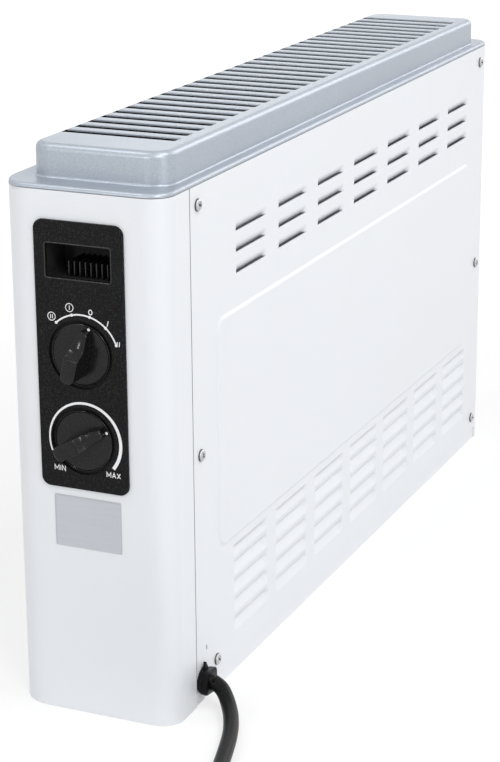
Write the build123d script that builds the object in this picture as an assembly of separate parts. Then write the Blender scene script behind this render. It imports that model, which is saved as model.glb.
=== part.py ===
from build123d import *
import os
from math import atan2, cos, pi, sin, sqrt, tan

# Convector heater, in millimetres.
# X runs along the casing with the controls at +X, the back panel faces +Y and Z is up.
# The origin is on the floor under the middle of the casing.

# Casing
casing_length = 614.0
casing_depth = 113.0
casing_height = 340.0
front_corner_radius = 22.0
back_corner_radius = 15.0
sheet = 1.0
sheet_gap = 0.2
top_flange_width = 8.0

# Back panel, its screws and its flanges
near_return = 33.6
panel_floor_gap = 10.0
seam_gap = 0.3
near_flange_width = 18.4
far_flange_width = 18.0
flange_overlap = 4.0
near_screw_edge = 10.9
far_screw_edge = 10.0
top_screw_drop = 12.0
middle_screw_height = 165.0
low_screw_height = 21.0
near_low_screw_edge = 30.9
screw_head_radius = 4.0
screw_head_height = 2.2
screw_crown_share = 0.6
screw_shank_radius = 1.9
screw_shank_length = 8.0
screw_hole_gap = 0.1

# Louvres and the raised field of the back panel
louvre_pitch_x = 68.3
louvre_width = 49.6
louvre_near_edge = 66.6
louvre_far_margin = 39.0
louvre_height = 6.2
louvre_depth = 3.6
upper_louvre_rows = 3
upper_louvre_pitch = 13.7
upper_louvre_drop = 41.2
lower_louvre_rows = 5
lower_louvre_pitch = 12.5
lower_louvre_height = 76.4
field_near_edge = 35.4
field_far_edge = 35.0
field_bottom = 93.4
field_top_drop = 89.8
field_rise = 1.5
field_bevel_angle = 45.0
field_corner_radius = 9.0

# Top grille
grille_flange = 3.0
grille_height = 24.0
grille_end_inset = 17.7
grille_front_inset = 16.6
grille_back_inset = 7.1
grille_corner_radius = 13.0
grille_edge_radius = 4.5
grille_foot_radius = 1.5
grille_wall = 2.2
grille_roof = 12.0
grille_pitch = 16.9
grille_slot_width = 9.8
grille_first_slot = 40.4
grille_last_slot_margin = 30.0
grille_slot_back = 10.4
grille_slot_radius = 1.0
grille_screw_radius = 1.45
grille_screw_head_radius = 3.0
grille_screw_head_height = 1.5
grille_screw_depth = 2.4
grille_screw_count = 4
grille_screw_end_inset = 57.0
grille_screw_inset = 5.0

# Base tray
tray_front_height = 15.0
tray_front_inset = 27.0
inlet_length = 70.0
inlet_width = 6.0
inlet_pitch = 14.0
inlet_pairs = 14
foot_hole_radius = 2.6
foot_hole_end_inset = 72.0
foot_hole_side_inset = 18.5

# Control fascia
fascia_width = 60.0
fascia_height = 169.4
fascia_top_drop = 17.6
fascia_offset = -0.8
fascia_thickness = 2.0
fascia_corner_radius = 6.0
fascia_edge_radius = 0.6
window_width = 44.4
window_height = 22.0
window_drop = 13.4
window_offset = -1.5
window_corner_radius = 2.0
pocket_wall = 1.5
pocket_depth = 26.0
pocket_gap = 0.2
pocket_rib_count = 8
pocket_rib_pitch = 3.75
pocket_rib_first = 7.4
pocket_rib_thickness = 0.9
pocket_rib_height = 11.0
pocket_rib_setback = 4.0
label_width = 47.0
label_height = 35.4
label_drop = 5.6
label_offset = 0.2
label_thickness = 0.3
label_corner_radius = 0.5

# Dials
mode_drop = 82.2
dial_spacing = 55.2
dial_offset = -0.9
mode_rest_angle = 14.25
thermostat_rest_angle = 61.0
knob_gap = 0.4
knob_disc_radius = 19.3
knob_disc_height = 3.0
knob_rim_radius = 0.8
knob_bar_width = 12.0
knob_bar_height = 13.0
knob_tip_reach = 18.0
knob_tip_height = 5.5
knob_tail_reach = 19.0
knob_bar_radius = 5.0
shaft_radius = 3.0
running_gap = 0.05
shaft_seat_gap = 0.03
knob_bore_depth = 9.0
shaft_wall_gap = 1.0
shaft_body_depth = 14.0

# Rotary switch and thermostat behind the dials
switch_width = 32.0
switch_height = 32.0
switch_depth = 22.0
thermostat_width = 34.0
thermostat_body_height = 30.0
thermostat_depth = 24.0
control_screw_span = 22.0
control_screw_radius = 1.5
control_screw_head_radius = 2.8
control_screw_head_height = 1.2
control_screw_length = 6.0
screw_pocket_gap = 0.3

# Heat shield, element brackets and heating elements
shield_distance = 82.0
shield_top_gap = 15.0
shield_foot = 12.0
bracket_wall_gap = 19.5
bracket_height = 155.0
bracket_foot = 10.0
bracket_window_width = 22.0
bracket_window_height = 60.0
bracket_window_bottom = 20.0
middle_bracket_distance = 297.0
far_bracket_distance = 62.0
element_radius = 4.0
element_half_span = 18.0
low_element_height = 110.0
high_element_height = 132.0
element_bend_radius = 14.0
element_far_reach = 22.0
element_pin_length = 14.0
element_pin_radius = 2.0
element_hole_gap = 0.1
cutout_radius = 8.0
cutout_thickness = 10.0
cutout_height = 185.0

# Fan
fan_distance = 177.0
fan_strap_height = 72.0
fan_strap_width = 20.0
fan_strap_wall_gap = 10.5
fan_strap_thickness = 1.5
fan_motor_radius = 23.0
fan_motor_height = 26.0
fan_motor_bore = 16.0
fan_shaft_radius = 2.0
fan_rotor_bottom = 14.0
fan_hub_radius = 9.0
fan_hub_height = 15.0
fan_hub_floor = 2.0
fan_blade_count = 5
fan_blade_reach = 38.0
fan_blade_thickness = 1.6
fan_blade_width = 15.0
fan_blade_root = 5.4
fan_blade_corner_radius = 3.75
fan_blade_pitch = 32.0

# Inner wires
wire_radius = 1.3
wire_bend_radius = 7.0
supply_wire_inset = 13.0
switch_wire_distance = 57.0
thermostat_wire_distance = 47.0
low_wire_distance = 51.0
low_wire_y = 10.0
high_wire_distance = 41.0
high_wire_y = -4.0

# Mains cord
cord_radius = 5.0
gland_distance = 42.0
gland_height = 16.0
gland_outer_radius = 7.8
gland_reach = 8.5
gland_neck_radius = 6.5
gland_collar_length = 4.0
gland_edge_radius = 0.8
notch_gap = 0.6
clamp_width = 30.0
clamp_thickness = 10.0
clamp_height = 26.0
clamp_distance = 25.5
terminal_width = 36.0
terminal_depth = 20.0
terminal_height = 22.0
terminal_distance = 51.0
terminal_front = -25.0
terminal_well_radius = 2.2
terminal_well_depth = 8.0
terminal_well_inset = 5.0
terminal_well_pitch = 11.0
# The cord's route: X and Y from the gland's mouth, Z from the floor
cord_route = [
    (0.0, 0.0, gland_height),
    (0.0, 9.0, gland_height),
    (4.0, 15.5, 12.0),
    (11.0, 20.3, 8.0),
    (22.5, 24.0, 5.4),
    (40.5, 30.0, cord_radius),
    (67.0, 38.5, cord_radius),
    (101.0, 47.5, cord_radius),
    (139.0, 57.2, cord_radius),
    (178.0, 66.7, cord_radius),
]
run_share = 0.45

# Put-away coil and plug
coil_lead = 10.0
coil_inner_radius = 40.0
coil_pitch = 10.5
quarters_in = 8
quarters_out = 9
gap_sample_step = 4.0
gap_search_start = 50.0
plug_face_radius = 18.5
plug_face_thickness = 8.0
plug_grip_radius = 13.0
plug_grip_length = 30.0
plug_relief_length = 42.0
plug_relief_radius = 7.5
plug_edge_radius = 1.5
plug_relief_ring_gap = 5.0
plug_relief_ring_depth = 0.8
plug_relief_ring_width = 1.8
plug_relief_rings = 5
pin_radius = 2.4
pin_length = 19.0
pin_spacing = 19.0
pin_dome_share = 0.8

# Tolerance for picking edges by their place
nearly = 0.01

# Places worked out from the sizes
end_x = casing_length / 2
front_y = -casing_depth / 2
back_y = casing_depth / 2
panel_inner_y = back_y - sheet
near_seam = end_x - near_return
far_seam = -end_x + back_corner_radius
panel_near = near_seam - seam_gap / 2
panel_far = far_seam + seam_gap / 2
near_flange_end = near_seam - near_flange_width
far_flange_end = far_seam + far_flange_width
tray_near = near_flange_end - sheet_gap
tray_far = far_flange_end + sheet_gap
tray_back = panel_inner_y - sheet - sheet_gap
tray_front = front_y + sheet + sheet_gap
tray_rear_height = lower_louvre_height - (lower_louvre_rows - 1) * lower_louvre_pitch - sheet_gap
fascia_top = casing_height - fascia_top_drop
fascia_bottom = fascia_top - fascia_height
window_bottom = fascia_top - window_drop - window_height
label_bottom = fascia_bottom - label_drop - label_height
mode_height = fascia_top - mode_drop
thermostat_height = mode_height - dial_spacing
dial_places = {"mode": (dial_offset, mode_height), "thermostat": (dial_offset, thermostat_height)}
knob_base_x = end_x + fascia_thickness + knob_gap
shield_x = end_x - shield_distance
middle_bracket_x = middle_bracket_distance - end_x
far_bracket_x = far_bracket_distance - end_x
fan_x = fan_distance - end_x
fan_strap_half_span = back_y - fan_strap_wall_gap
terminal_x = end_x - terminal_distance
gland_x = end_x - gland_distance
gland_mouth_y = panel_inner_y + gland_reach
clamp_y = panel_inner_y - clamp_distance
screw_places = [
    (near_seam - near_screw_edge, casing_height - top_screw_drop),
    (near_seam - near_screw_edge, middle_screw_height),
    (near_seam - near_low_screw_edge, low_screw_height),
    (far_seam + far_screw_edge, casing_height - top_screw_drop),
    (far_seam + far_screw_edge, middle_screw_height),
    (far_seam + far_screw_edge, low_screw_height),
]


def block(x0, x1, y0, y1, z0, z1):
    """Box between two corners."""
    size = (x1 - x0, y1 - y0, z1 - z0)
    return Pos((x0 + x1) / 2, (y0 + y1) / 2, (z0 + z1) / 2) * Box(*size)


def rod(start, direction, radius, length):
    """Round rod from a start point along a direction."""
    return extrude(Plane(origin=start, z_dir=direction) * Circle(radius), amount=length)


def cord_points():
    """Points of the cord's route, on the floor from the gland's mouth."""
    return [Vector(gland_x + x, gland_mouth_y + y, z) for x, y, z in cord_route]


def plan(inset):
    """Plan outline of the casing, drawn in by an inset, with its front and back corner radii."""
    length = casing_length - 2 * inset
    depth = casing_depth - 2 * inset
    outline = Rectangle(length, depth)
    outline = fillet(outline.vertices().filter_by(lambda v: v.Y < 0), front_corner_radius - inset)
    corners = outline.vertices().filter_by(lambda v: v.Y > depth / 2 - nearly)
    return fillet(corners, back_corner_radius - inset)


def end_rectangle(y, z0, width, height, radius, x):
    """Rounded rectangle on the end of the casing, facing +X."""
    face = Plane(origin=(x, y, z0 + height / 2), x_dir=(0, 1, 0), z_dir=(1, 0, 0))
    return face * RectangleRounded(width, height, radius)


def screw_holes(radius, y0, y1):
    """Round holes for the panel screws."""
    return [rod((x, y0, z), (0, 1, 0), radius, y1 - y0) for x, z in screw_places]


def control_screw_places():
    """Two screws on each control, one each side of its shaft."""
    half = control_screw_span / 2
    return [(y + side * half, z) for y, z in dial_places.values() for side in (-1, 1)]


def grille_screw_places():
    """Four screws in a row under the front edge of the grille."""
    front = front_y + grille_screw_inset
    first = grille_screw_end_inset - end_x
    pitch = -2 * first / (grille_screw_count - 1)
    return [(first + number * pitch, front) for number in range(grille_screw_count)]


def casing_wrap():
    """Front and both ends in one bent sheet, with a turned top edge and stepped back flanges."""
    wall = extrude(plan(0) - plan(sheet), casing_height)
    wall -= block(far_seam, near_seam, panel_inner_y, back_y, 0, casing_height)
    flange_y = panel_inner_y - sheet
    near = block(near_flange_end, near_seam + flange_overlap, flange_y, panel_inner_y, 0, casing_height)
    far = block(far_seam - flange_overlap, far_flange_end, flange_y, panel_inner_y, 0, casing_height)
    rim = Pos(0, 0, casing_height - sheet) * extrude(plan(0) - plan(top_flange_width), sheet)
    rim -= block(far_seam, near_seam, flange_y, back_y, 0, casing_height)
    wrap = wall + near + far + rim
    for x, y in grille_screw_places():
        wrap -= Pos(x, y, casing_height) * Cylinder(grille_screw_radius + screw_hole_gap, 4 * sheet)
    hole = end_rectangle(
        window_offset,
        window_bottom - pocket_wall - pocket_gap,
        window_width + 2 * (pocket_wall + pocket_gap),
        window_height + 2 * (pocket_wall + pocket_gap),
        window_corner_radius,
        end_x - 2 * sheet,
    )
    wrap -= extrude(hole, 3 * sheet)
    for y, z in dial_places.values():
        wrap -= rod((end_x - 2 * sheet, y, z), (1, 0, 0), shaft_radius + shaft_wall_gap, 3 * sheet)
    for y, z in control_screw_places():
        hole_radius = control_screw_radius + screw_hole_gap
        wrap -= rod((end_x - 2 * sheet, y, z), (1, 0, 0), hole_radius, 3 * sheet)
    wrap -= screw_holes(screw_shank_radius + screw_hole_gap, flange_y - sheet, back_y)
    neck = gland_neck_radius + screw_hole_gap
    wrap -= rod((gland_x, flange_y - sheet, gland_height), (0, 1, 0), neck, 2 * sheet)
    return wrap


def louvre(rise):
    """Pressed louvre with closed ends: its hinge edge is at z = 0 and it opens at z = rise."""
    side = 1 if rise > 0 else -1
    high = louvre_height * side
    skin = [(back_y, 0), (panel_inner_y, 0), (panel_inner_y - louvre_depth, high), (back_y, high)]
    room = [(back_y, 0), (back_y - louvre_depth, high), (back_y, high)]
    section = Plane(origin=(-louvre_width / 2, 0, 0), x_dir=(0, 1, 0), z_dir=(1, 0, 0))
    body = extrude(section * make_face(Polyline(*skin, close=True)), louvre_width)
    inner = Plane(origin=(-louvre_width / 2 + sheet, 0, 0), x_dir=(0, 1, 0), z_dir=(1, 0, 0))
    return body - extrude(inner * make_face(Polyline(*room, close=True)), louvre_width - 2 * sheet)


def louvre_places():
    """Middle x, hinge height and opening side of each louvre."""
    upper_hinge = casing_height - upper_louvre_drop + louvre_height
    near_x = near_seam - louvre_near_edge - louvre_width / 2
    room = near_x - louvre_width / 2 - (far_seam + louvre_far_margin)
    places = []
    for column in range(int(room / louvre_pitch_x) + 1):
        x = near_x - column * louvre_pitch_x
        for row in range(upper_louvre_rows):
            places.append((x, upper_hinge - row * upper_louvre_pitch, -1))
        for row in range(lower_louvre_rows):
            places.append((x, lower_louvre_height - row * lower_louvre_pitch, 1))
    return places


def back_panel():
    """Flat back sheet with louvres, a raised field and screw holes."""
    panel = block(panel_far, panel_near, panel_inner_y, back_y, panel_floor_gap, casing_height)
    width = near_seam - field_near_edge - (far_seam + field_far_edge)
    middle = (near_seam - field_near_edge + far_seam + field_far_edge) / 2
    height = casing_height - field_top_drop - field_bottom
    for y, cut in ((back_y, False), (panel_inner_y, True)):
        centre = (middle, y, field_bottom + height / 2)
        outline = Plane(origin=centre, x_dir=(-1, 0, 0), z_dir=(0, 1, 0)) * RectangleRounded(
            width, height, field_corner_radius
        )
        raised = extrude(outline, field_rise, taper=field_bevel_angle)
        panel = panel - raised if cut else panel + raised
    shapes = {side: louvre(side) for side in (-1, 1)}
    cuts = []
    flaps = []
    for x, z, side in louvre_places():
        low = min(z, z + side * louvre_height)
        half = louvre_width / 2
        cuts.append(block(x - half, x + half, panel_inner_y, back_y, low, low + louvre_height))
        flaps.append(Pos(x, 0, z) * shapes[side])
    panel = panel - cuts + flaps
    panel -= screw_holes(screw_shank_radius + screw_hole_gap, panel_inner_y - sheet, back_y + sheet)
    reach = gland_outer_radius + notch_gap
    panel -= block(gland_x - reach, near_seam, panel_inner_y, back_y, 0, gland_height + reach)
    return panel


def panel_screws():
    """Six pan-head screws that hold the back panel."""
    screws = []
    for x, z in screw_places:
        head = rod((x, back_y, z), (0, 1, 0), screw_head_radius, screw_head_height)
        rim = head.edges().sort_by(Axis.Y)[-1]
        head = fillet(rim, screw_head_height * screw_crown_share)
        shank = rod((x, back_y, z), (0, -1, 0), screw_shank_radius, screw_shank_length)
        screws.append(head + shank)
    return screws


def top_grille():
    """Moulded grille: a flange on the casing, raised walls and a roof with cross slots."""
    top = casing_height + grille_height
    flange = Pos(0, 0, casing_height) * extrude(plan(0), grille_flange)
    length = casing_length - 2 * grille_end_inset
    depth = casing_depth - grille_front_inset - grille_back_inset
    middle_y = (grille_front_inset - grille_back_inset) / 2
    raised = Pos(0, middle_y, casing_height) * extrude(
        RectangleRounded(length, depth, grille_corner_radius), grille_height
    )
    raised = fillet(raised.faces().sort_by(Axis.Z)[-1].edges(), grille_edge_radius)
    grille = flange + raised
    foot_z = casing_height + grille_flange
    foot = [
        edge
        for edge in grille.edges()
        if abs(edge.center().Z - foot_z) < nearly
        and abs(edge.center().X) < length / 2 + nearly
        and abs(edge.center().Y - middle_y) < depth / 2 + nearly
    ]
    grille = fillet(foot, grille_foot_radius)
    hollow = RectangleRounded(
        length - 2 * grille_wall, depth - 2 * grille_wall, grille_corner_radius - grille_wall
    )
    grille -= Pos(0, middle_y, casing_height) * extrude(hollow, grille_height - grille_roof)
    slot_front = front_y + grille_front_inset + grille_wall
    slot_back = back_y - grille_back_inset - grille_slot_back
    slot = Pos(0, (slot_front + slot_back) / 2, top - grille_roof) * extrude(
        RectangleRounded(grille_slot_width, slot_back - slot_front, grille_slot_radius), grille_roof
    )
    first = length / 2 - grille_first_slot
    slots = int((length - grille_first_slot - grille_last_slot_margin) / grille_pitch) + 1
    grille -= [Pos(first - number * grille_pitch, 0, 0) * slot for number in range(slots)]
    bores = []
    for x, y in grille_screw_places():
        depth_up = grille_screw_depth + screw_hole_gap
        bores.append(rod((x, y, casing_height), (0, 0, 1), grille_screw_radius, depth_up))
    return grille - bores


def grille_screws():
    """Screws from under the turned edge of the casing into the grille."""
    screws = []
    for x, y in grille_screw_places():
        low = casing_height - sheet
        head = rod((x, y, low), (0, 0, -1), grille_screw_head_radius, grille_screw_head_height)
        length = sheet + grille_screw_depth
        screws.append(head + rod((x, y, low), (0, 0, 1), grille_screw_radius, length))
    return screws


def base_tray():
    """Bottom sheet with air inlets, foot screw holes and turned-up front and rear flanges."""
    floor = extrude(plan(sheet + sheet_gap), sheet)
    floor -= block(-casing_length, casing_length, tray_back, casing_depth, 0, sheet)
    middle = block(tray_far, tray_near, tray_back - sheet, panel_inner_y, 0, sheet)
    rear = block(tray_far, tray_near, panel_inner_y - sheet, panel_inner_y, 0, tray_rear_height)
    half = end_x - tray_front_inset
    front = block(-half, half, tray_front, tray_front + sheet, 0, tray_front_height)
    tray = floor + middle + rear + front
    cuts = []
    for number in range(-inlet_pairs, inlet_pairs):
        x = (number + 0.5) * inlet_pitch
        cuts.append(Pos(x, 0, 0) * extrude(SlotOverall(inlet_length, inlet_width, rotation=90), sheet))
    for side_x in (-1, 1):
        for side_y in (-1, 1):
            x = side_x * (end_x - foot_hole_end_inset)
            y = side_y * (back_y - foot_hole_side_inset)
            cuts.append(Pos(x, y, sheet / 2) * Cylinder(foot_hole_radius, 2 * sheet))
    cuts += screw_holes(screw_shank_radius + screw_hole_gap, panel_inner_y - 2 * sheet, back_y)
    return tray - cuts


def fascia_plate():
    """Black control plate with its window, shaft holes and pockets over the control screws."""
    outline = end_rectangle(
        fascia_offset, fascia_bottom, fascia_width, fascia_height, fascia_corner_radius, end_x
    )
    plate = extrude(outline, fascia_thickness)
    plate = fillet(plate.faces().sort_by(Axis.X)[-1].edges(), fascia_edge_radius)
    opening = end_rectangle(
        window_offset, window_bottom, window_width, window_height, window_corner_radius, end_x
    )
    plate -= extrude(opening, fascia_thickness)
    for y, z in dial_places.values():
        plate -= rod((end_x, y, z), (1, 0, 0), shaft_radius + shaft_wall_gap, fascia_thickness)
    for y, z in control_screw_places():
        radius = control_screw_head_radius + screw_pocket_gap
        depth = control_screw_head_height + screw_pocket_gap
        plate -= rod((end_x, y, z), (1, 0, 0), radius, depth)
    return plate


def grip_pocket():
    """Black recess behind the window, with a row of upright fins on its floor."""
    outer_width = window_width + 2 * pocket_wall
    outer_height = window_height + 2 * pocket_wall
    shell = extrude(
        end_rectangle(
            window_offset,
            window_bottom - pocket_wall,
            outer_width,
            outer_height,
            window_corner_radius,
            end_x - pocket_depth,
        ),
        pocket_depth,
    )
    shell -= block(
        end_x - pocket_depth + pocket_wall,
        end_x,
        window_offset - window_width / 2,
        window_offset + window_width / 2,
        window_bottom,
        window_bottom + window_height,
    )
    fins = []
    for number in range(pocket_rib_count):
        y = window_offset - pocket_rib_first + number * pocket_rib_pitch
        fins.append(
            block(
                end_x - pocket_depth + pocket_wall,
                end_x - pocket_rib_setback,
                y - pocket_rib_thickness / 2,
                y + pocket_rib_thickness / 2,
                window_bottom,
                window_bottom + pocket_rib_height,
            )
        )
    return shell + fins


def label_plate():
    """Thin blank plate under the fascia."""
    outline = end_rectangle(
        label_offset, label_bottom, label_width, label_height, label_corner_radius, end_x
    )
    return extrude(outline, label_thickness)


def pointer_knob(name, rest_angle):
    """Disc with a raised pointer bar that slopes to its tip, turned to its rest angle."""
    y, z = dial_places[name]
    disc = Cylinder(knob_disc_radius, knob_disc_height, align=(Align.CENTER, Align.CENTER, Align.MIN))
    disc = fillet(disc.edges().sort_by(Axis.Z)[-1], knob_rim_radius)
    side = Polyline(
        (-knob_tail_reach, 0),
        (-knob_tail_reach, knob_bar_height - knob_rim_radius),
        (-knob_tail_reach + knob_rim_radius, knob_bar_height),
        (0, knob_bar_height),
        (knob_tip_reach, knob_tip_height),
        (knob_tip_reach, 0),
        close=True,
    )
    profile = Plane(origin=(0, knob_bar_width / 2, 0), x_dir=(1, 0, 0), z_dir=(0, -1, 0))
    bar = extrude(profile * make_face(side), knob_bar_width)
    reach = knob_tail_reach + knob_tip_reach
    outline = Pos((knob_tip_reach - knob_tail_reach) / 2, 0, 0) * RectangleRounded(
        reach, knob_bar_width, knob_bar_radius
    )
    bar &= extrude(outline, knob_bar_height)
    knob = disc + bar
    knob -= Cylinder(
        shaft_radius + shaft_seat_gap, knob_bore_depth, align=(Align.CENTER, Align.CENTER, Align.MIN)
    )
    stand = Plane(origin=(knob_base_x, y, z), x_dir=(0, 0, 1), z_dir=(1, 0, 0))
    return stand * Rot(0, 0, -rest_angle) * knob


def control_shaft(name):
    """Round shaft from inside a control's body to the floor of the knob's bore."""
    y, z = dial_places[name]
    start = end_x - sheet - shaft_body_depth
    return rod((start, y, z), (1, 0, 0), shaft_radius, knob_base_x + knob_bore_depth - start)


def control_body(name, width, height, depth):
    """Moulded body of a control on the inner face of the end wall, bored for its shaft and screws."""
    y, z = dial_places[name]
    face_x = end_x - sheet
    body = block(face_x - depth, face_x, y - width / 2, y + width / 2, z - height / 2, z + height / 2)
    body = fillet(body.edges().filter_by(Axis.X), 2 * sheet)
    body -= rod((face_x, y, z), (-1, 0, 0), shaft_radius + running_gap, shaft_body_depth + running_gap)
    for side in (-1, 1):
        start = (face_x, y + side * control_screw_span / 2, z)
        hole_depth = control_screw_length + screw_hole_gap
        body -= rod(start, (-1, 0, 0), control_screw_radius + screw_hole_gap, hole_depth)
    return body


def control_screws():
    """Four small screws through the end wall into the two controls."""
    screws = []
    for y, z in control_screw_places():
        head = rod((end_x, y, z), (1, 0, 0), control_screw_head_radius, control_screw_head_height)
        length = sheet + control_screw_length
        screws.append(head + rod((end_x, y, z), (-1, 0, 0), control_screw_radius, length))
    return screws


def element_holes(x):
    """Holes for the four legs of the two heating elements in an upright sheet."""
    holes = []
    for z in (low_element_height, high_element_height):
        for side in (-1, 1):
            start = (x - sheet, side * element_half_span, z)
            holes.append(rod(start, (1, 0, 0), element_radius + element_hole_gap, 3 * sheet))
    return holes


def heat_shield():
    """Upright sheet between the heating chamber and the control chamber, with a foot on the tray."""
    low_y = tray_front + sheet + sheet_gap
    top = casing_height - shield_top_gap
    wall = block(shield_x - sheet, shield_x, low_y, tray_back, sheet, top)
    hot_x = shield_x - sheet
    foot = block(hot_x - shield_foot, hot_x, low_y + shield_foot, tray_back - shield_foot, sheet, 2 * sheet)
    return wall + foot - element_holes(shield_x - sheet)


def element_bracket(x):
    """Upright sheet bracket on the tray that carries the heating elements."""
    half = back_y - bracket_wall_gap
    wall = block(x, x + sheet, -half, half, sheet, bracket_height)
    foot = block(x - bracket_foot, x, -half, half, sheet, 2 * sheet)
    half_window = bracket_window_width / 2
    top = bracket_window_bottom + bracket_window_height
    window = block(x, x + sheet, -half_window, half_window, bracket_window_bottom, top)
    return wall + foot - window - element_holes(x)


def heating_element(height):
    """Sheathed heating element bent to a hairpin, with a thin pin on each leg."""
    near = shield_x + sheet
    far = far_bracket_x - element_far_reach
    path = FilletPolyline(
        (near, -element_half_span, height),
        (far, -element_half_span, height),
        (far, element_half_span, height),
        (near, element_half_span, height),
        radius=element_bend_radius,
    )
    section = Plane(origin=(near, -element_half_span, height), z_dir=(-1, 0, 0)) * Circle(element_radius)
    element = sweep(section, path=path)
    for side in (-1, 1):
        start = (near, side * element_half_span, height)
        element += rod(start, (1, 0, 0), element_pin_radius, element_pin_length)
    return element


def thermal_cutout():
    """Round overheat cut-out on the hot side of the heat shield."""
    return rod((shield_x - sheet, 0, cutout_height), (-1, 0, 0), cutout_radius, cutout_thickness)


def fan_strap():
    """Bent strap on the tray that carries the fan motor."""
    half = fan_strap_half_span
    x0 = fan_x - fan_strap_width / 2
    x1 = fan_x + fan_strap_width / 2
    thick = fan_strap_thickness
    bar = block(x0, x1, -half, half, fan_strap_height - thick, fan_strap_height)
    legs = [
        block(x0, x1, -half, -half + thick, sheet, fan_strap_height),
        block(x0, x1, half - thick, half, sheet, fan_strap_height),
    ]
    return bar + legs


def fan_motor():
    """Round motor under the strap, bored for its shaft."""
    top = fan_strap_height - fan_strap_thickness
    body = rod((fan_x, 0, top), (0, 0, -1), fan_motor_radius, fan_motor_height)
    body = fillet(body.edges().sort_by(Axis.Z)[0], 2 * sheet)
    start = (fan_x, 0, top - fan_motor_height)
    return body - rod(start, (0, 0, 1), fan_shaft_radius + running_gap, fan_motor_bore + running_gap)


def fan_shaft():
    """Shaft from inside the motor to the floor of the rotor's hub."""
    low = fan_rotor_bottom + fan_hub_floor
    high = fan_strap_height - fan_strap_thickness - fan_motor_height + fan_motor_bore
    return rod((fan_x, 0, low), (0, 0, 1), fan_shaft_radius, high - low)


def fan_rotor():
    """Moulded hub with pitched blades."""
    hub = rod((0, 0, 0), (0, 0, 1), fan_hub_radius, fan_hub_height)
    blade = block(
        fan_blade_root, fan_blade_reach, -fan_blade_thickness / 2, fan_blade_thickness / 2,
        -fan_blade_width / 2, fan_blade_width / 2,
    )
    blade = fillet(blade.edges().filter_by(Axis.Y).sort_by(Axis.X)[-2:], fan_blade_corner_radius)
    blade = Pos(0, 0, fan_hub_height / 2) * Rot(90 - fan_blade_pitch, 0, 0) * blade
    rotor = hub + [Rot(0, 0, number * 360 / fan_blade_count) * blade for number in range(fan_blade_count)]
    bore_radius = fan_shaft_radius + shaft_seat_gap
    rotor -= rod((0, 0, fan_hub_floor), (0, 0, 1), bore_radius, fan_hub_height)
    return Pos(fan_x, 0, fan_rotor_bottom) * rotor


def terminal_block():
    """Terminal block on the tray, with a screw well for each pole."""
    x0 = terminal_x - terminal_width / 2
    back = terminal_front + terminal_depth
    body = block(x0, x0 + terminal_width, terminal_front, back, sheet, sheet + terminal_height)
    for number in (-1, 0, 1):
        x = terminal_x + number * terminal_well_pitch
        start = (x, back - terminal_well_inset, sheet + terminal_height)
        body -= rod(start, (0, 0, -1), terminal_well_radius, terminal_well_depth)
    return body


def cord_clamp():
    """Block that grips the cord inside the casing and stands on the tray."""
    half = clamp_width / 2
    body = block(
        gland_x - half, gland_x + half, clamp_y - clamp_thickness / 2, clamp_y + clamp_thickness / 2,
        sheet, clamp_height,
    )
    body = fillet(body.edges().filter_by(Axis.Y).group_by(Axis.Z)[-1], 2 * sheet)
    start = (gland_x, clamp_y - clamp_thickness, gland_height)
    return body - rod(start, (0, 1, 0), cord_radius + running_gap, 2 * clamp_thickness)


def inner_cord():
    """Straight end of the cord inside the casing, from the gland's mouth to the terminal block."""
    start = (gland_x, gland_mouth_y, gland_height)
    length = gland_mouth_y - terminal_front - terminal_depth
    return rod(start, (0, -1, 0), cord_radius, length)


def cord_gland():
    """Round bush in the rear flange, gripping the cord on both sides of the sheet."""
    seat = (gland_x, panel_inner_y, gland_height)
    outer = rod(seat, (0, 1, 0), gland_outer_radius, gland_reach)
    outer = fillet(outer.edges().sort_by(Axis.Y)[-1], gland_edge_radius)
    neck = rod(seat, (0, -1, 0), gland_neck_radius, sheet)
    collar_start = (gland_x, panel_inner_y - sheet, gland_height)
    collar = rod(collar_start, (0, -1, 0), gland_outer_radius, gland_collar_length)
    bore_start = (gland_x, panel_inner_y - casing_depth / 4, gland_height)
    return outer + neck + collar - rod(bore_start, (0, 1, 0), cord_radius + running_gap, casing_depth)


def inner_wires():
    """Insulated wires between the terminal block, the two controls and the element pins."""
    mode_z = dial_places["mode"][1]
    heat_z = dial_places["thermostat"][1]
    switch_back = end_x - sheet - switch_depth
    thermostat_back = end_x - sheet - thermostat_depth
    block_top = sheet + terminal_height
    pin_x = shield_x + sheet + element_pin_length
    supply_y = terminal_front + supply_wire_inset
    switch_wire_x = end_x - switch_wire_distance
    thermostat_wire_x = end_x - thermostat_wire_distance
    low_wire_x = end_x - low_wire_distance
    high_wire_x = end_x - high_wire_distance
    runs = [
        [
            (switch_wire_x, supply_y, block_top),
            (switch_wire_x, supply_y, mode_z),
            (switch_back, supply_y, mode_z),
        ],
        [
            (thermostat_wire_x, supply_y, block_top),
            (thermostat_wire_x, supply_y, heat_z),
            (thermostat_back, supply_y, heat_z),
        ],
        [
            (switch_back, low_wire_y, mode_z),
            (low_wire_x, low_wire_y, mode_z),
            (low_wire_x, element_half_span, low_element_height),
            (pin_x, element_half_span, low_element_height),
        ],
        [
            (thermostat_back, high_wire_y, heat_z),
            (high_wire_x, high_wire_y, heat_z),
            (high_wire_x, -element_half_span, high_element_height),
            (pin_x, -element_half_span, high_element_height),
        ],
    ]
    wires = []
    for run in runs:
        points = [Vector(*point) for point in run]
        path = FilletPolyline(*points, radius=wire_bend_radius)
        start = Plane(origin=points[0], z_dir=points[1] - points[0])
        wires.append(sweep(start * Circle(wire_radius), path=path))
    return wires


def cord_radii(points):
    """Bend radius at each corner of the cord's route: as large as the two runs beside it allow."""
    radii = []
    for before, here, after in zip(points, points[1:], points[2:]):
        turn = (here - before).get_angle(after - here)
        shorter = min((here - before).length, (after - here).length)
        radii.append(run_share * shorter / tan(turn * pi / 360))
    return radii


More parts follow.
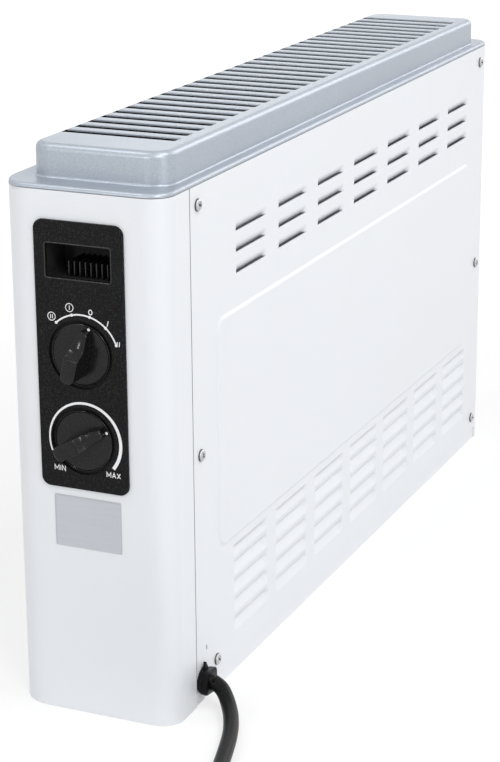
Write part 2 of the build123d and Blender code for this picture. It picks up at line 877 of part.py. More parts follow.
def power_cord():
    """The cord from the gland to the coil, lying on the floor."""
    points = cord_points()
    radii = cord_radii(points)
    print("cord bend radii", [round(radius, 1) for radius in radii])
    path = FilletPolyline(*points, radius=radii)
    tube = sweep(Plane(origin=points[0], z_dir=points[1] - points[0]) * Circle(cord_radius), path=path)
    expected = pi * cord_radius**2 * path.length
    print("cord length", round(path.length, 1), "volume share", round(tube.volume / expected, 4))
    return tube


def coil_state(quarter, centre, start_angle):
    """Point and direction of the coil at a number of quarter turns from its innermost point."""
    angle = quarter * pi / 2
    slope = coil_pitch / (2 * pi)
    radius = coil_inner_radius + slope * abs(angle)
    rise = 0.5 + 0.5 * sin(max(-pi / 2, min(pi / 2, angle)))
    z = cord_radius + coil_pitch * rise
    climb = coil_pitch * 0.5 * cos(angle) if abs(angle) < pi / 2 else 0.0
    drift = slope * ((angle > 0) - (angle < 0))
    last = quarters_out * pi / 2
    lift = plug_face_radius - cord_radius - coil_pitch
    if angle > last - pi / 4:
        z += lift
    around = start_angle - (angle + quarters_in * pi / 2)
    outward = Vector(cos(around), sin(around), 0)
    along = Vector(sin(around), -cos(around), 0)
    point = Vector(centre.X, centre.Y, z) + outward * radius
    return point, (along * radius + outward * drift + Vector(0, 0, climb)).normalized()


def biarc(start, start_way, end, end_way):
    """Two arcs that join two points along two directions, smoothly."""
    span = end - start
    both = start_way + end_way
    bend = 2 * (1 - start_way.dot(end_way))
    reach = (-span.dot(both) + sqrt(span.dot(both) ** 2 + bend * span.dot(span))) / bend
    first = start + start_way * reach
    second = end - end_way * reach
    joint = (first + second) / 2
    return [
        TangentArc(start, joint, tangent=start_way),
        TangentArc(joint, end, tangent=second - first),
    ]


def coil_path():
    """Centre line of the coil: in along the floor, up a layer at the middle, and out again."""
    tail, head = cord_points()[-2:]
    way = (head - tail).normalized()
    entry = head + way * coil_lead
    outer = coil_inner_radius + coil_pitch * quarters_in / 4
    lean = atan2(coil_pitch / (2 * pi), outer)
    start_angle = atan2(way.Y, way.X) + pi / 2 + lean
    centre = entry - Vector(cos(start_angle), sin(start_angle), 0) * outer
    quarters = range(-quarters_in, quarters_out + 1)
    states = [coil_state(quarter, centre, start_angle) for quarter in quarters]
    edges = [Line(head, entry)]
    for (point, direction), (next_point, next_direction) in zip(states, states[1:]):
        edges += biarc(point, direction, next_point, next_direction)
    point, direction = states[-1]
    end = point + direction * coil_lead
    edges.append(Line(point, end))
    return edges, end, direction


def least_gap(edges):
    """Least distance between the surface of the coil and itself, away from its own neighbourhood."""
    points = []
    travelled = 0.0
    for edge in edges:
        steps = max(2, int(edge.length / gap_sample_step))
        for step in range(steps):
            points.append((travelled + edge.length * step / steps, edge @ (step / steps)))
        travelled += edge.length
    nearest = min(
        (there - here).length
        for place, here in points
        for other, there in points
        if other - place > gap_search_start
    )
    return nearest - 2 * cord_radius


def cord_coil():
    """The put-away length of the cord, wound into a neat two-layer coil on the floor."""
    edges, end, direction = coil_path()
    length = sum(edge.length for edge in edges)
    print("coil length", round(length, 1), "least gap", round(least_gap(edges), 2))
    start = edges[0] @ 0
    section = Plane(origin=start, z_dir=edges[0] % 0) * Circle(cord_radius)
    tube = sweep(section, path=Wire(edges))
    print("coil volume share", round(tube.volume / (pi * cord_radius**2 * length), 4))
    return tube


def plug_stand():
    """Plane at the coil's end, facing along the plug."""
    edges, end, direction = coil_path()
    return Plane(origin=end, x_dir=(0, 0, 1), z_dir=direction)


def plug_body():
    """Round earthed plug: ribbed strain relief, grip and face."""
    grip_start = plug_relief_length
    face_start = grip_start + plug_grip_length
    profile = Polyline(
        (0, 0),
        (cord_radius + plug_relief_ring_depth, 0),
        (plug_relief_radius, plug_relief_length),
        (plug_grip_radius, plug_relief_length),
        (plug_grip_radius, face_start),
        (plug_face_radius, face_start),
        (plug_face_radius, face_start + plug_face_thickness),
        (0, face_start + plug_face_thickness),
        close=True,
    )
    upright = Plane(origin=(0, 0, 0), x_dir=(1, 0, 0), z_dir=(0, -1, 0))
    body = revolve(upright * make_face(profile), Axis.Z)
    corners = [
        edge
        for edge in body.edges().filter_by(GeomType.CIRCLE)
        if edge.center().Z > grip_start - nearly
    ]
    body = fillet(corners, plug_edge_radius)
    for number in range(plug_relief_rings):
        z = plug_relief_ring_gap * (number + 1)
        ring = Cylinder(2 * plug_relief_radius, plug_relief_ring_width)
        ring -= Cylinder(cord_radius, plug_relief_ring_width)
        body -= Pos(0, 0, z) * ring
    return plug_stand() * body


def plug_pins():
    """Two round pins with domed ends."""
    start = plug_relief_length + plug_grip_length + plug_face_thickness
    pins = []
    for side in (-1, 1):
        pin = Cylinder(pin_radius, pin_length, align=(Align.CENTER, Align.CENTER, Align.MIN))
        pin = fillet(pin.edges().sort_by(Axis.Z)[-1], pin_radius * pin_dome_share)
        pins.append(plug_stand() * Pos(0, side * pin_spacing / 2, start) * pin)
    return pins


def build():
    """Every node of the heater, by name."""
    return {
        "casing_wrap": casing_wrap(),
        "back_panel": back_panel(),
        "panel_screws": panel_screws(),
        "top_grille": top_grille(),
        "grille_screws": grille_screws(),
        "base_tray": base_tray(),
        "fascia_plate": fascia_plate(),
        "grip_pocket": grip_pocket(),
        "label_plate": label_plate(),
        "mode_knob": pointer_knob("mode", mode_rest_angle),
        "mode_shaft": control_shaft("mode"),
        "mode_switch": control_body("mode", switch_width, switch_height, switch_depth),
        "thermostat_knob": pointer_knob("thermostat", thermostat_rest_angle),
        "thermostat_spindle": control_shaft("thermostat"),
        "thermostat_body": control_body(
            "thermostat", thermostat_width, thermostat_body_height, thermostat_depth
        ),
        "control_screws": control_screws(),
        "heat_shield": heat_shield(),
        "element_bracket_middle": element_bracket(middle_bracket_x),
        "element_bracket_far": element_bracket(far_bracket_x),
        "heating_element_low": heating_element(low_element_height),
        "heating_element_high": heating_element(high_element_height),
        "thermal_cutout": thermal_cutout(),
        "fan_strap": fan_strap(),
        "fan_motor": fan_motor(),
        "fan_shaft": fan_shaft(),
        "fan_rotor": fan_rotor(),
        "terminal_block": terminal_block(),
        "cord_clamp": cord_clamp(),
        "inner_cord": inner_cord(),
        "inner_wires": inner_wires(),
        "cord_gland": cord_gland(),
        "power_cord": power_cord(),
        "cord_coil": cord_coil(),
        "plug_body": plug_body(),
        "plug_pins": plug_pins(),
    }


os.makedirs("parts", exist_ok=True)
for node, shape in build().items():
    group = Compound(children=[Part() + piece for piece in shape]) if isinstance(shape, list) else shape
    export_step(group, f"parts/{node}.step")
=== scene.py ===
from math import atan2, cos, pi, radians, sin

import bmesh
import bpy
import numpy as np
from mathutils import Matrix, Vector


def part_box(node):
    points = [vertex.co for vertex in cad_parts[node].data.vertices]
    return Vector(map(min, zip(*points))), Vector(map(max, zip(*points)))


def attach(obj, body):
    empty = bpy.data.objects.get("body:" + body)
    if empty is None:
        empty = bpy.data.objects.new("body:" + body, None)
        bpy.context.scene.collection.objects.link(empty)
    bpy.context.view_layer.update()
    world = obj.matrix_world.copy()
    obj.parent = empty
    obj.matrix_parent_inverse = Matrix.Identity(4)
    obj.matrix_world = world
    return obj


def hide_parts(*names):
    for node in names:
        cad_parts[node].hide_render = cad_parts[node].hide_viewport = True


# Convector heater seen from behind its control end, in metres.
# X runs along the casing with the controls at +X, the back panel faces +Y and Z is up.
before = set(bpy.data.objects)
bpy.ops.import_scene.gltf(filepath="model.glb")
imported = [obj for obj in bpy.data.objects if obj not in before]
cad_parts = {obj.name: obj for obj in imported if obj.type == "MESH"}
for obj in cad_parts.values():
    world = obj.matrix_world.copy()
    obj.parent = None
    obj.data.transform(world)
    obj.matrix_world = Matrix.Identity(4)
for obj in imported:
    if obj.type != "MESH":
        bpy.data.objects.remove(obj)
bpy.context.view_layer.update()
mm = 0.001

# Places taken from the frame
shell_low, shell_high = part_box("casing_wrap")
panel_low, panel_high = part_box("back_panel")
grille_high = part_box("top_grille")[1]
fascia_low, fascia_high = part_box("fascia_plate")
pocket_low, pocket_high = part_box("grip_pocket")
label_low, label_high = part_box("label_plate")
gland_low, gland_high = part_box("cord_gland")
end_x = shell_high.x
back_y = shell_high.y
front_y = shell_low.y
casing_top = shell_high.z
fascia_x = fascia_high.x

# Casing
front_corner = 22 * mm
back_corner = 15 * mm
sheet = 1 * mm
near_seam = end_x - 33.6 * mm
far_seam = -end_x + back_corner
near_flange_end = near_seam - 13.5 * mm
far_flange_end = far_seam + 18 * mm
sheet_edge_round = 0.3 * mm

# Louvres and raised field
louvre_columns = 7
louvre_pitch = 68.3 * mm
louvre_width = 49.6 * mm
louvre_near = near_seam - 66.6 * mm
louvre_height = 6.2 * mm
louvre_depth = 3.6 * mm
upper_rows = 3
upper_pitch = 13.7 * mm
upper_open = casing_top - 41.2 * mm
lower_rows = 5
lower_pitch = 13.45 * mm
lower_open = 90 * mm
lower_height = 8.4 * mm
lower_depth = 4.2 * mm
lower_dip = 2.0 * mm
lower_near = near_seam - 58.9 * mm
lower_column_pitch = 69.8 * mm
lower_width = 56 * mm
field_near = near_seam - 35.4 * mm
field_far = far_seam + 35 * mm
field_low = 95.6 * mm
field_high = casing_top - 89.8 * mm
field_rise = 1.5 * mm
field_bevel = 2.6 * mm
field_corner = 9 * mm

# Grille
flange_top = casing_top + 3 * mm
raised_end = end_x - 17.7 * mm
raised_front = front_y + 16.6 * mm
raised_back = back_y - 7.1 * mm
raised_corner = 13 * mm
top_round = 4.5 * mm
foot_round = 1.5 * mm
flange_round = 2.3 * mm
# Height of the black band at the grille's foot: a painted shadow line at the seam with the casing
seam_shade_height = 0.26 * mm
slot_count = 31
slot_pitch = 16.9 * mm
slot_width = 9.8 * mm
first_slot = raised_end - 40.4 * mm
slot_front = raised_front + 2.2 * mm
slot_back = back_y - 17.5 * mm
roof_depth = 12 * mm
grille_wall = 2.2 * mm
# Depth to which the silver reaches in the slots before the painted shade begins
silver_depth_before_shade = 1.2 * mm
front_skew = (-1.3 * mm, -2.0 * mm)
back_skew = -1.4 * mm
roof_fall = 0.7 * mm
slots_middle = first_slot - (slot_count - 1) * slot_pitch / 2
slots_reach = slot_count * slot_pitch / 2

# Dials
mode_place = (-0.9 * mm, 240.2 * mm)
thermostat_place = (-0.9 * mm, 185 * mm)
mode_rest = radians(14.25)
thermostat_rest = radians(61)
ink_proud = 0.04 * mm
window_low = (-23.3 * mm, 286.8 * mm)
window_high = (21.3 * mm, 308.7 * mm)
window_corner = 1.5 * mm
fascia_corner = 6 * mm
pocket_mid_z = (pocket_low.z + pocket_high.z) / 2
well_radius = 21.6 * mm
well_floor = fascia_x - 1.75 * mm
disc_radius = 19.8 * mm
disc_face = fascia_x - 0.55 * mm
mode_marks = (-0.04 * mm, 240.47 * mm)
thermostat_marks = (0.4 * mm, 185.2 * mm)
mode_arc = 25.1 * mm
mode_steps = [-42.0, -14.0, 14.0, 42.0, 70.0]
thermostat_arc = 24.4 * mm
thermostat_sweep = (-111, 129)
letter_height = 3.2 * mm
symbol_stroke = 0.6 * mm
letter_stroke = 0.55 * mm
symbol_spots = [(-19.9, 262.7), (-7.5, 269.4), (6.7, 267.9), (18.2, 262.1), (24.9, 250.0)]

# Gland, the dark strip that paints the near seam's shadow, and the panel's small hole and crease
gland_x = (gland_low.x + gland_high.x) / 2
gland_z = (gland_low.z + gland_high.z) / 2
seam_shadow_width = 0.55 * mm
hole_x = near_seam - 15.4 * mm
hole_z = 36 * mm
hole_half = 0.9 * mm
hole_reach = 1.7 * mm
crease_x = far_seam + 19 * mm
crease_depth = 0.15 * mm

# Panel screws: head, and each one's X, Z and turn of the cross in degrees
screw_radius = 4 * mm
screw_rise = 2.2 * mm
near_screw_x = near_seam - 10.9 * mm
far_screw_x = far_seam + 10 * mm
screw_spots = [
    (near_screw_x, 328 * mm, 20),
    (near_screw_x, 168.5 * mm, 64),
    (near_seam - 30.9 * mm, 21 * mm, 41),
    (far_screw_x, 328 * mm, 12),
    (far_screw_x, 159 * mm, 75),
    (far_screw_x, 21 * mm, 33),
]

# Light: the surroundings' fill, the floor's glow with its share near the object and the distances over which
# it grows, and each lamp's place, aim, size and watts
world_fill = 0.48
floor_glow = 1.1
floor_glow_near = 0.6
floor_glow_grows = (0.4, 1.1)
lamps = {
    "key": ((2.4, 2.15, 2.5), (0, 0, 0.15), 1.0, 36),
    "sky": ((0.2, 1.5, 2.8), (0, 0, 0.2), 1.0, 21),
    "side": ((1.3, 2.1, 0.35), (0.2, 0, 0.15), 0.8, 3.5),
    "top": ((0.9, -0.9, 2.3), (0.28, 0, 0.35), 0.3, 6),
    "rim": ((-2.4, 1.1, 1.5), (0, 0, 0.35), 1.1, 12),
    "roof": ((-2.2, -1.0, 1.2), (0, 0, 0.36), 0.8, 2),
    "face": ((1.83, -0.35, 0.68), (0.31, 0, 0.23), 0.16, 3.5),
}

# Cord: its route from the gland to the coil, and the coil
cord_radius = 5 * mm
cord_route = [
    (0.2650, 0.0640, 0.0160),
    (0.2653, 0.0695, 0.0140),
    (0.2705, 0.0755, 0.0104),
    (0.2780, 0.0813, 0.0069),
    (0.2878, 0.0869, 0.0056),
    (0.3060, 0.0948, 0.0050),
    (0.3320, 0.1025, 0.0050),
    (0.3660, 0.1115, 0.0050),
    (0.4040, 0.1212, 0.0050),
    (0.4430, 0.1307, 0.0050),
]
coil_lead = 10 * mm
coil_inner = 40 * mm
coil_pitch = 10.5 * mm
coil_turns_in = 2.0
coil_turns_out = 2.25
coil_steps = 20
coil_end_lift = 3 * mm
tie_thickness = 0.8 * mm
tie_width = 14 * mm

# Camera, as solved from the photograph's straight edges
camera_place = Vector((1.4080, 0.5983, 0.6280))
camera_azimuth = radians(113.92)
camera_elevation = radians(17.98)
camera_roll = radians(-0.40)
camera_lens = 102.29
camera_sensor = 36.0


class Wire:
    """A node's output that can stand in a sum: the operators add Math nodes."""

    def __init__(self, finish, socket):
        self.finish = finish
        self.socket = socket

    def __add__(self, other):
        return self.finish.maths("ADD", self, other)

    def __sub__(self, other):
        return self.finish.maths("SUBTRACT", self, other)

    def __mul__(self, other):
        return self.finish.maths("MULTIPLY", self, other)

    def __truediv__(self, other):
        return self.finish.maths("DIVIDE", self, other)

    def __rsub__(self, other):
        return self.finish.maths("SUBTRACT", other, self)

    def __gt__(self, other):
        return self.finish.maths("GREATER_THAN", self, other)

    def __lt__(self, other):
        return self.finish.maths("LESS_THAN", self, other)

    __radd__ = __add__
    __rmul__ = __mul__


class Finish:
    """A procedural material on object coordinates, built round one Principled shader."""

    def __init__(self, name, **constants):
        self.material = bpy.data.materials.new(name)
        self.material.use_nodes = True
        self.nodes = self.material.node_tree.nodes
        self.links = self.material.node_tree.links
        self.shader = self.nodes["Principled BSDF"]
        for socket, value in constants.items():
            self.shader.inputs[socket.replace("_", " ")].default_value = value
        self.place = Wire(self, self.node("ShaderNodeTexCoord").outputs["Object"])

    def node(self, kind, settings=None, **inputs):
        """A node of a kind, with its settings first and then the values or links of its sockets."""
        made = self.nodes.new(kind)
        for setting, value in (settings or {}).items():
            if setting == "stops":
                ramp = made.color_ramp
                while len(ramp.elements) < len(value):
                    ramp.elements.new(1.0)
                for element, (position, level) in zip(ramp.elements, value):
                    element.position = position
                    element.color = (level, level, level, 1)
            else:
                setattr(made, setting, value)
        for socket, value in inputs.items():
            key = int(socket[1:]) if socket[1:].isdigit() else socket.replace("_", " ")
            self.feed(made.inputs[key], value)
        return made

    def feed(self, target, value):
        """Links a wire to a socket, or sets the socket to a plain value."""
        if isinstance(value, Wire):
            self.links.new(value.socket, target)
        else:
            target.default_value = value

    def maths(self, operation, first, second=0.0, third=0.0, clamp=False):
        settings = {"operation": operation, "use_clamp": clamp}
        made = self.node("ShaderNodeMath", settings, _0=first, _1=second, _2=third)
        return Wire(self, made.outputs[0])

    def step(self, value, low, high):
        """0 below low, 1 above high and smooth between."""
        settings = {"interpolation_type": "SMOOTHSTEP"}
        made = self.node("ShaderNodeMapRange", settings, Value=value, From_Min=low, From_Max=high)
        return Wire(self, made.outputs["Result"])

    def axes(self):
        """The object's own X, Y and Z as three wires."""
        made = self.node("ShaderNodeSeparateXYZ", Vector=self.place)
        return [Wire(self, made.outputs[axis]) for axis in "XYZ"]

    def stretched(self, scale):
        """The object's own coordinates, scaled along each axis."""
        made = self.node("ShaderNodeMapping", Vector=self.place, Scale=scale)
        return Wire(self, made.outputs["Vector"])

    def noise(self, scale, detail=2.0, roughness=0.5, vector=None):
        made = self.node(
            "ShaderNodeTexNoise", Vector=vector or self.place, Scale=scale, Detail=detail, Roughness=roughness
        )
        return Wire(self, made.outputs["Fac"])

    def cells(self, scale, output="Distance", feature="F1", vector=None):
        settings = {"feature": feature}
        made = self.node("ShaderNodeTexVoronoi", settings, Vector=vector or self.place, Scale=scale)
        return Wire(self, made.outputs[output])

    def mixed(self, factor, first, second, blend="MIX"):
        """Two colours mixed by a factor."""
        settings = {"data_type": "RGBA", "blend_type": blend}
        made = self.node("ShaderNodeMix", settings, Factor=factor, _6=first, _7=second)
        return Wire(self, made.outputs[2])

    def shade(self, **wires):
        """Feeds the shader's sockets by name."""
        for socket, value in wires.items():
            self.feed(self.shader.inputs[socket.replace("_", " ")], value)
        return self

    def over(self, factor, **inputs):
        """Lays a second shader over the first where the factor is 1."""
        second = self.node("ShaderNodeBsdfPrincipled", None, **inputs)
        mix = self.node("ShaderNodeMixShader", None, _0=factor)
        self.links.new(self.shader.outputs[0], mix.inputs[1])
        self.links.new(second.outputs[0], mix.inputs[2])
        self.links.new(mix.outputs[0], self.nodes["Material Output"].inputs["Surface"])
        return self

    def bump(self, height, distance, strength=1.0, normal=None):
        """A Bump node on a height, over an earlier one if given."""
        made = self.node("ShaderNodeBump", Strength=strength, Distance=distance, Height=height)
        if normal is not None:
            self.feed(made.inputs["Normal"], normal)
        return Wire(self, made.outputs["Normal"])


def grey(level, blue=1.0, red=1.0):
    """A near-neutral colour with its blue and red shifted by a factor."""
    return (level * red, level, level * blue, 1)


def painted_sheet(name, level, orange_peel=0.00002):
    """White stoved paint: slight cloudiness, a fine orange peel and a little handling gloss."""
    finish = Finish(name, Coat_Weight=0.12, Coat_Roughness=0.18)
    cloud = finish.noise(5.0, 3.0)
    speck = finish.noise(900.0, 2.0)
    colour = finish.mixed(cloud, grey(level * 0.985, 1.035, 0.98), grey(level, 1.05, 0.97))
    colour = finish.mixed(finish.step(speck, 0.72, 0.82) * 0.08, colour, grey(level * 0.8))
    peel = finish.noise(420.0, 2.0, 0.45)
    wave = finish.noise(18.0, 1.0)
    normal = finish.bump(wave, 0.0003, 0.25)
    normal = finish.bump(peel, orange_peel, 0.6, normal)
    rough = 0.34 + 0.08 * finish.noise(60.0, 2.0)
    return finish.shade(Base_Color=colour, Roughness=rough, Normal=normal).material


def silver_moulding():
    """Silver paint on a black moulding, with flake in the paint. The black laid in the slots, rising higher
    towards their ends, and along the foot at the casing is painted shade, set on the bare black plastic where
    the spray didn't reach.
    """
    finish = Finish("grille_silver_paint_and_shade", Coat_Weight=0.1, Coat_Roughness=0.3)
    moulded = finish.node("ShaderNodeAttribute", {"attribute_name": "moulded"}).outputs["Vector"]
    split = finish.node("ShaderNodeSeparateXYZ", Vector=Wire(finish, moulded))
    x, y, z = [Wire(finish, split.outputs[axis]) for axis in "XYZ"]
    depth = grille_high.z - z
    across = finish.maths("PINGPONG", x - first_slot, slot_pitch / 2)
    along = finish.maths("ABSOLUTE", x - slots_middle) < slots_reach
    reach = finish.step(y, slot_front + 0.1 * mm, slot_front + 0.6 * mm)
    reach = reach * (1 - finish.step(y, slot_back - 1.9 * mm, slot_back - 0.4 * mm))
    in_front = finish.step(y, slot_front - 0.3 * mm, slot_front - 0.1 * mm)
    behind = 1 - finish.step(y, slot_back + 0.1 * mm, slot_back + 0.3 * mm)
    beside = 1 - finish.step(across, slot_width / 2 + 0.1 * mm, slot_width / 2 + 0.3 * mm)
    inside = in_front * behind * beside * along * (z > flange_top + 1 * mm)
    ragged = finish.noise(700.0, 2.0) * 0.5 * mm
    # Painted shade: the depth below the roof where the silver gives way to black, shallower near the slots'
    # ends
    limit = 0.45 * mm + reach * (silver_depth_before_shade - 0.45 * mm) + ragged - 0.25 * mm
    slot_shade = finish.step(depth - limit, 0.0, 0.35 * mm) * inside
    # Painted shade: a thin black band along the foot, standing for the shadow line at the seam with the casing
    under = 1 - finish.step(z, casing_top + seam_shade_height - 0.03 * mm, casing_top + seam_shade_height + 0.03 * mm)
    bare_and_shade = finish.maths("MAXIMUM", slot_shade, under)
    flake = finish.cells(2600.0, "Color")
    sparkle = finish.node("ShaderNodeSeparateColor", Color=flake)
    glint = Wire(finish, sparkle.outputs["Red"])
    cloud = finish.noise(14.0, 2.0)
    paint = finish.mixed(cloud, grey(0.425, 1.13, 0.90), grey(0.46, 1.12, 0.91))
    paint = finish.mixed(finish.step(glint, 0.75, 1.0) * 0.35, paint, grey(0.70, 1.07, 0.95))
    paint = finish.mixed((1 - finish.step(glint, 0.0, 0.2)) * 0.3, paint, grey(0.22, 1.12, 0.9))
    coarse = finish.noise(650.0, 2.0, 0.6)
    paint = finish.mixed(finish.step(coarse, 0.55, 0.75) * 0.3, paint, grey(0.62, 1.10, 0.93))
    rough = 0.38 + 0.12 * glint - 0.05 * cloud
    normal = finish.bump(glint, 0.000012, 0.5)
    normal = finish.bump(finish.noise(260.0, 2.0), 0.00002, 0.5, normal)
    finish.shade(Base_Color=paint, Roughness=rough, Metallic=0.6, Normal=normal)
    grain = finish.bump(finish.noise(1800.0, 2.0), 0.00003, 0.6)
    black = finish.mixed(cloud, grey(0.006, 1.1), grey(0.010, 1.1))
    finish.over(bare_and_shade, Base_Color=black, Roughness=0.5, Specular_IOR_Level=0.12, Normal=grain)
    return finish.material


def grained_plastic(name, level, grain, depth, rough, gloss, flecks=0.1, blue=1.06):
    """Black moulded plastic with a spark-eroded grain, paler flecks and a faint cloudiness in its gloss."""
    finish = Finish(name, Specular_IOR_Level=gloss)
    pits = finish.cells(grain, "Distance", "SMOOTH_F1")
    fine = finish.noise(grain * 1.7, 2.0, 0.6)
    cloud = finish.noise(30.0, 2.0)
    fleck = finish.noise(grain * 0.9, 1.0, 0.4)
    colour = finish.mixed(fine, grey(level * 0.75, blue), grey(level * 1.3, blue))
    colour = finish.mixed(finish.step(pits, 0.45, 0.75) * 0.3, colour, grey(level * 1.9, blue))
    colour = finish.mixed(finish.step(fleck, 0.52, 0.68) * flecks, colour, grey(level * 6, blue))
    normal = finish.bump(pits, depth, 0.7)
    normal = finish.bump(fine, depth * 0.6, 0.6, normal)
    wear = rough + 0.1 * fine - 0.06 * cloud
    return finish.shade(Base_Color=colour, Roughness=wear, Normal=normal).material


def bright_steel(name, level, rough, metal=1.0, grain=(1.0, 1.0, 1.0), scratch=1200.0, warm=1.0):
    """Plated or rolled steel: fine scratches along its grain and small dull patches."""
    finish = Finish(name)
    lines = finish.noise(scratch, 3.0, 0.6, finish.stretched(grain))
    patch = finish.noise(45.0, 3.0)
    colour = finish.mixed(patch, grey(level * 0.88, 1.02, warm), grey(level, 1.0, warm))
    colour = finish.mixed(finish.step(lines, 0.6, 0.8) * 0.3, colour, grey(level * 0.6, 1.0, warm))
    normal = finish.bump(lines, 0.00002, 0.4)
    shine = rough + 0.18 * lines - 0.08 * patch
    finish.shade(Base_Color=colour, Roughness=shine, Metallic=metal, Normal=normal)
    return finish.material


def screw_plating():
    """Zinc plating: fine scratches and dull patches, with painted shade in the cross recess and under the rim.
    """
    finish = Finish("screw_zinc_plate_and_shade")
    soiled = Wire(finish, finish.node("ShaderNodeAttribute", {"attribute_name": "soiled"}).outputs["Fac"])
    lines = finish.noise(900.0, 3.0, 0.6)
    patch = finish.noise(160.0, 3.0)
    colour = finish.mixed(patch, grey(0.45, 1.03), grey(0.62, 1.03))
    colour = finish.mixed(finish.step(lines, 0.6, 0.8) * 0.3, colour, grey(0.35, 1.03))
    # Painted shade: near-black in the cross recess and at the head's rim
    colour = finish.mixed(soiled * 0.9, colour, grey(0.03, 1.03))
    shine = 0.22 + 0.18 * lines + 0.3 * soiled
    normal = finish.bump(lines, 0.00002, 0.4)
    return finish.shade(Base_Color=colour, Roughness=shine, Metallic=1 - 0.7 * soiled, Normal=normal).material


def spangled_sheet():
    """Galvanised steel: zinc crystals a few millimetres across."""
    finish = Finish("galvanised_sheet", Metallic=0.85)
    crystal = finish.node("ShaderNodeSeparateColor", Color=finish.cells(260.0, "Color"))
    facet = Wire(finish, crystal.outputs["Green"])
    film = finish.noise(60.0, 3.0)
    colour = finish.mixed(facet, grey(0.42, 1.03), grey(0.60, 1.05))
    colour = finish.mixed(film * 0.3, colour, grey(0.5))
    normal = finish.bump(facet, 0.00003, 0.4)
    return finish.shade(Base_Color=colour, Roughness=0.35 + 0.2 * facet, Normal=normal).material


def coloured_moulding(name, colour, rough=0.45, gloss=0.0):
    """Plain coloured plastic or rubber with a fine skin and faint flow marks."""
    finish = Finish(name, Coat_Weight=gloss, Coat_Roughness=0.2)
    flow = finish.noise(24.0, 3.0)
    fine = finish.noise(1500.0, 2.0)
    dark = tuple(channel * 0.8 for channel in colour[:3]) + (1,)
    tone = finish.mixed(flow, dark, colour)
    normal = finish.bump(fine, 0.00002, 0.5)
    wear = rough + 0.12 * fine - 0.06 * flow
    return finish.shade(Base_Color=tone, Roughness=wear, Normal=normal).material


def cord_sheath():
    """Black rubber sheath: matt skin, faint dust and long soft draw marks."""
    finish = Finish("cord_rubber_sheath", Specular_IOR_Level=0.14)
    dust = finish.noise(120.0, 4.0, 0.6)
    skin = finish.noise(2200.0, 2.0)
    wave = finish.noise(45.0, 1.0)
    colour = finish.mixed(dust, grey(0.003, 1.08), grey(0.006, 1.05))
    colour = finish.mixed(finish.step(skin, 0.62, 0.8) * 0.35, colour, grey(0.03, 1.04))
    fleck = finish.noise(900.0, 1.0, 0.4)
    colour = finish.mixed(finish.step(fleck, 0.55, 0.7) * 0.3, colour, grey(0.04, 1.04))
    normal = finish.bump(wave, 0.0002, 0.3)
    normal = finish.bump(skin, 0.00003, 0.6, normal)
    rough = 0.32 + 0.12 * skin - 0.05 * dust
    return finish.shade(Base_Color=colour, Roughness=rough, Normal=normal).material


def printed_ink():
    """White screen-printed ink, a little thin in places."""
    finish = Finish("printed_white_ink", Roughness=0.55)
    thin = finish.noise(2400.0, 2.0)
    colour = finish.mixed(finish.step(thin, 0.6, 0.75) * 0.25, grey(0.86, 1.02), grey(0.45))
    return finish.shade(Base_Color=colour, Normal=finish.bump(thin, 0.00001, 0.5)).material


def label_foil():
    """Blank silver foil: fine brushing along Y, a faint sheen change and a dulled rim."""
    finish = Finish("label_foil")
    _, y, z = finish.axes()
    brushed = finish.noise(900.0, 4.0, 0.65, finish.stretched((1.0, 0.06, 1.0)))
    cloud = finish.noise(35.0, 2.0)
    half_y = (label_high.y - label_low.y) / 2
    half_z = (label_high.z - label_low.z) / 2
    side = finish.maths("ABSOLUTE", y - (label_low.y + half_y))
    rise = finish.maths("ABSOLUTE", z - (label_low.z + half_z))
    rim = finish.maths("MAXIMUM", side - half_y, rise - half_z)
    edge = finish.step(rim, -1.3 * mm, -1.1 * mm)
    colour = finish.mixed(brushed, grey(0.50, 1.07, 0.96), grey(0.60, 1.07, 0.96))
    colour = finish.mixed(edge * 0.35, colour, grey(0.38, 1.04))
    normal = finish.bump(brushed, 0.00001, 0.4)
    rough = 0.38 + 0.15 * brushed - 0.06 * cloud
    return finish.shade(Base_Color=colour, Roughness=rough, Metallic=0.55, Normal=normal).material


def woven_tie():
    """Black hook-and-loop tape: a dense fuzz of short loops."""
    finish = Finish("tie_fabric", Sheen_Weight=0.4, Sheen_Roughness=0.4)
    loops = finish.cells(1400.0, "Distance", "F1")
    fuzz = finish.noise(2600.0, 3.0, 0.7)
    colour = finish.mixed(loops, grey(0.012), grey(0.05))
    normal = finish.bump(loops, 0.0002, 0.8)
    normal = finish.bump(fuzz, 0.0001, 0.8, normal)
    return finish.shade(Base_Color=colour, Roughness=0.8 + 0.1 * fuzz, Normal=normal).material


def grid_faces(rows, columns, closed_rows=False, closed_columns=False):
    """Quads of a grid of points, as rows of four indices, joined round where the grid closes."""
    index = np.arange(rows * columns).reshape(rows, columns)
    if closed_rows:
        index = np.vstack([index, index[:1]])
    if closed_columns:
        index = np.hstack([index, index[:, :1]])
    corners = [index[:-1, :-1], index[1:, :-1], index[1:, 1:], index[:-1, 1:]]
    return np.stack(corners, axis=-1).reshape(-1, 4)


def skin(points, closed_rows=False, closed_columns=False, flip=False, hole=None):
    """A grid surface as (points, faces). Faces turn round with flip and are left out where hole says so."""
    faces = grid_faces(points.shape[0], points.shape[1], closed_rows, closed_columns)
    flat = points.reshape(-1, 3)
    if hole is not None:
        faces = faces[~hole(flat[faces])]
    return flat, [tuple(face) for face in (faces[:, ::-1] if flip else faces).tolist()]


def lid(loop, flip=False):
    """One flat face over a closed loop of points."""
    order = range(len(loop))
    return np.asarray(loop), [tuple(reversed(order)) if flip else tuple(order)]


def capped(points, flip=False):
    """A tube of rows of closed loops, with a flat lid on its first and last row."""
    return [skin(points, closed_columns=True, flip=flip), lid(points[0], flip), lid(points[-1], not flip)]


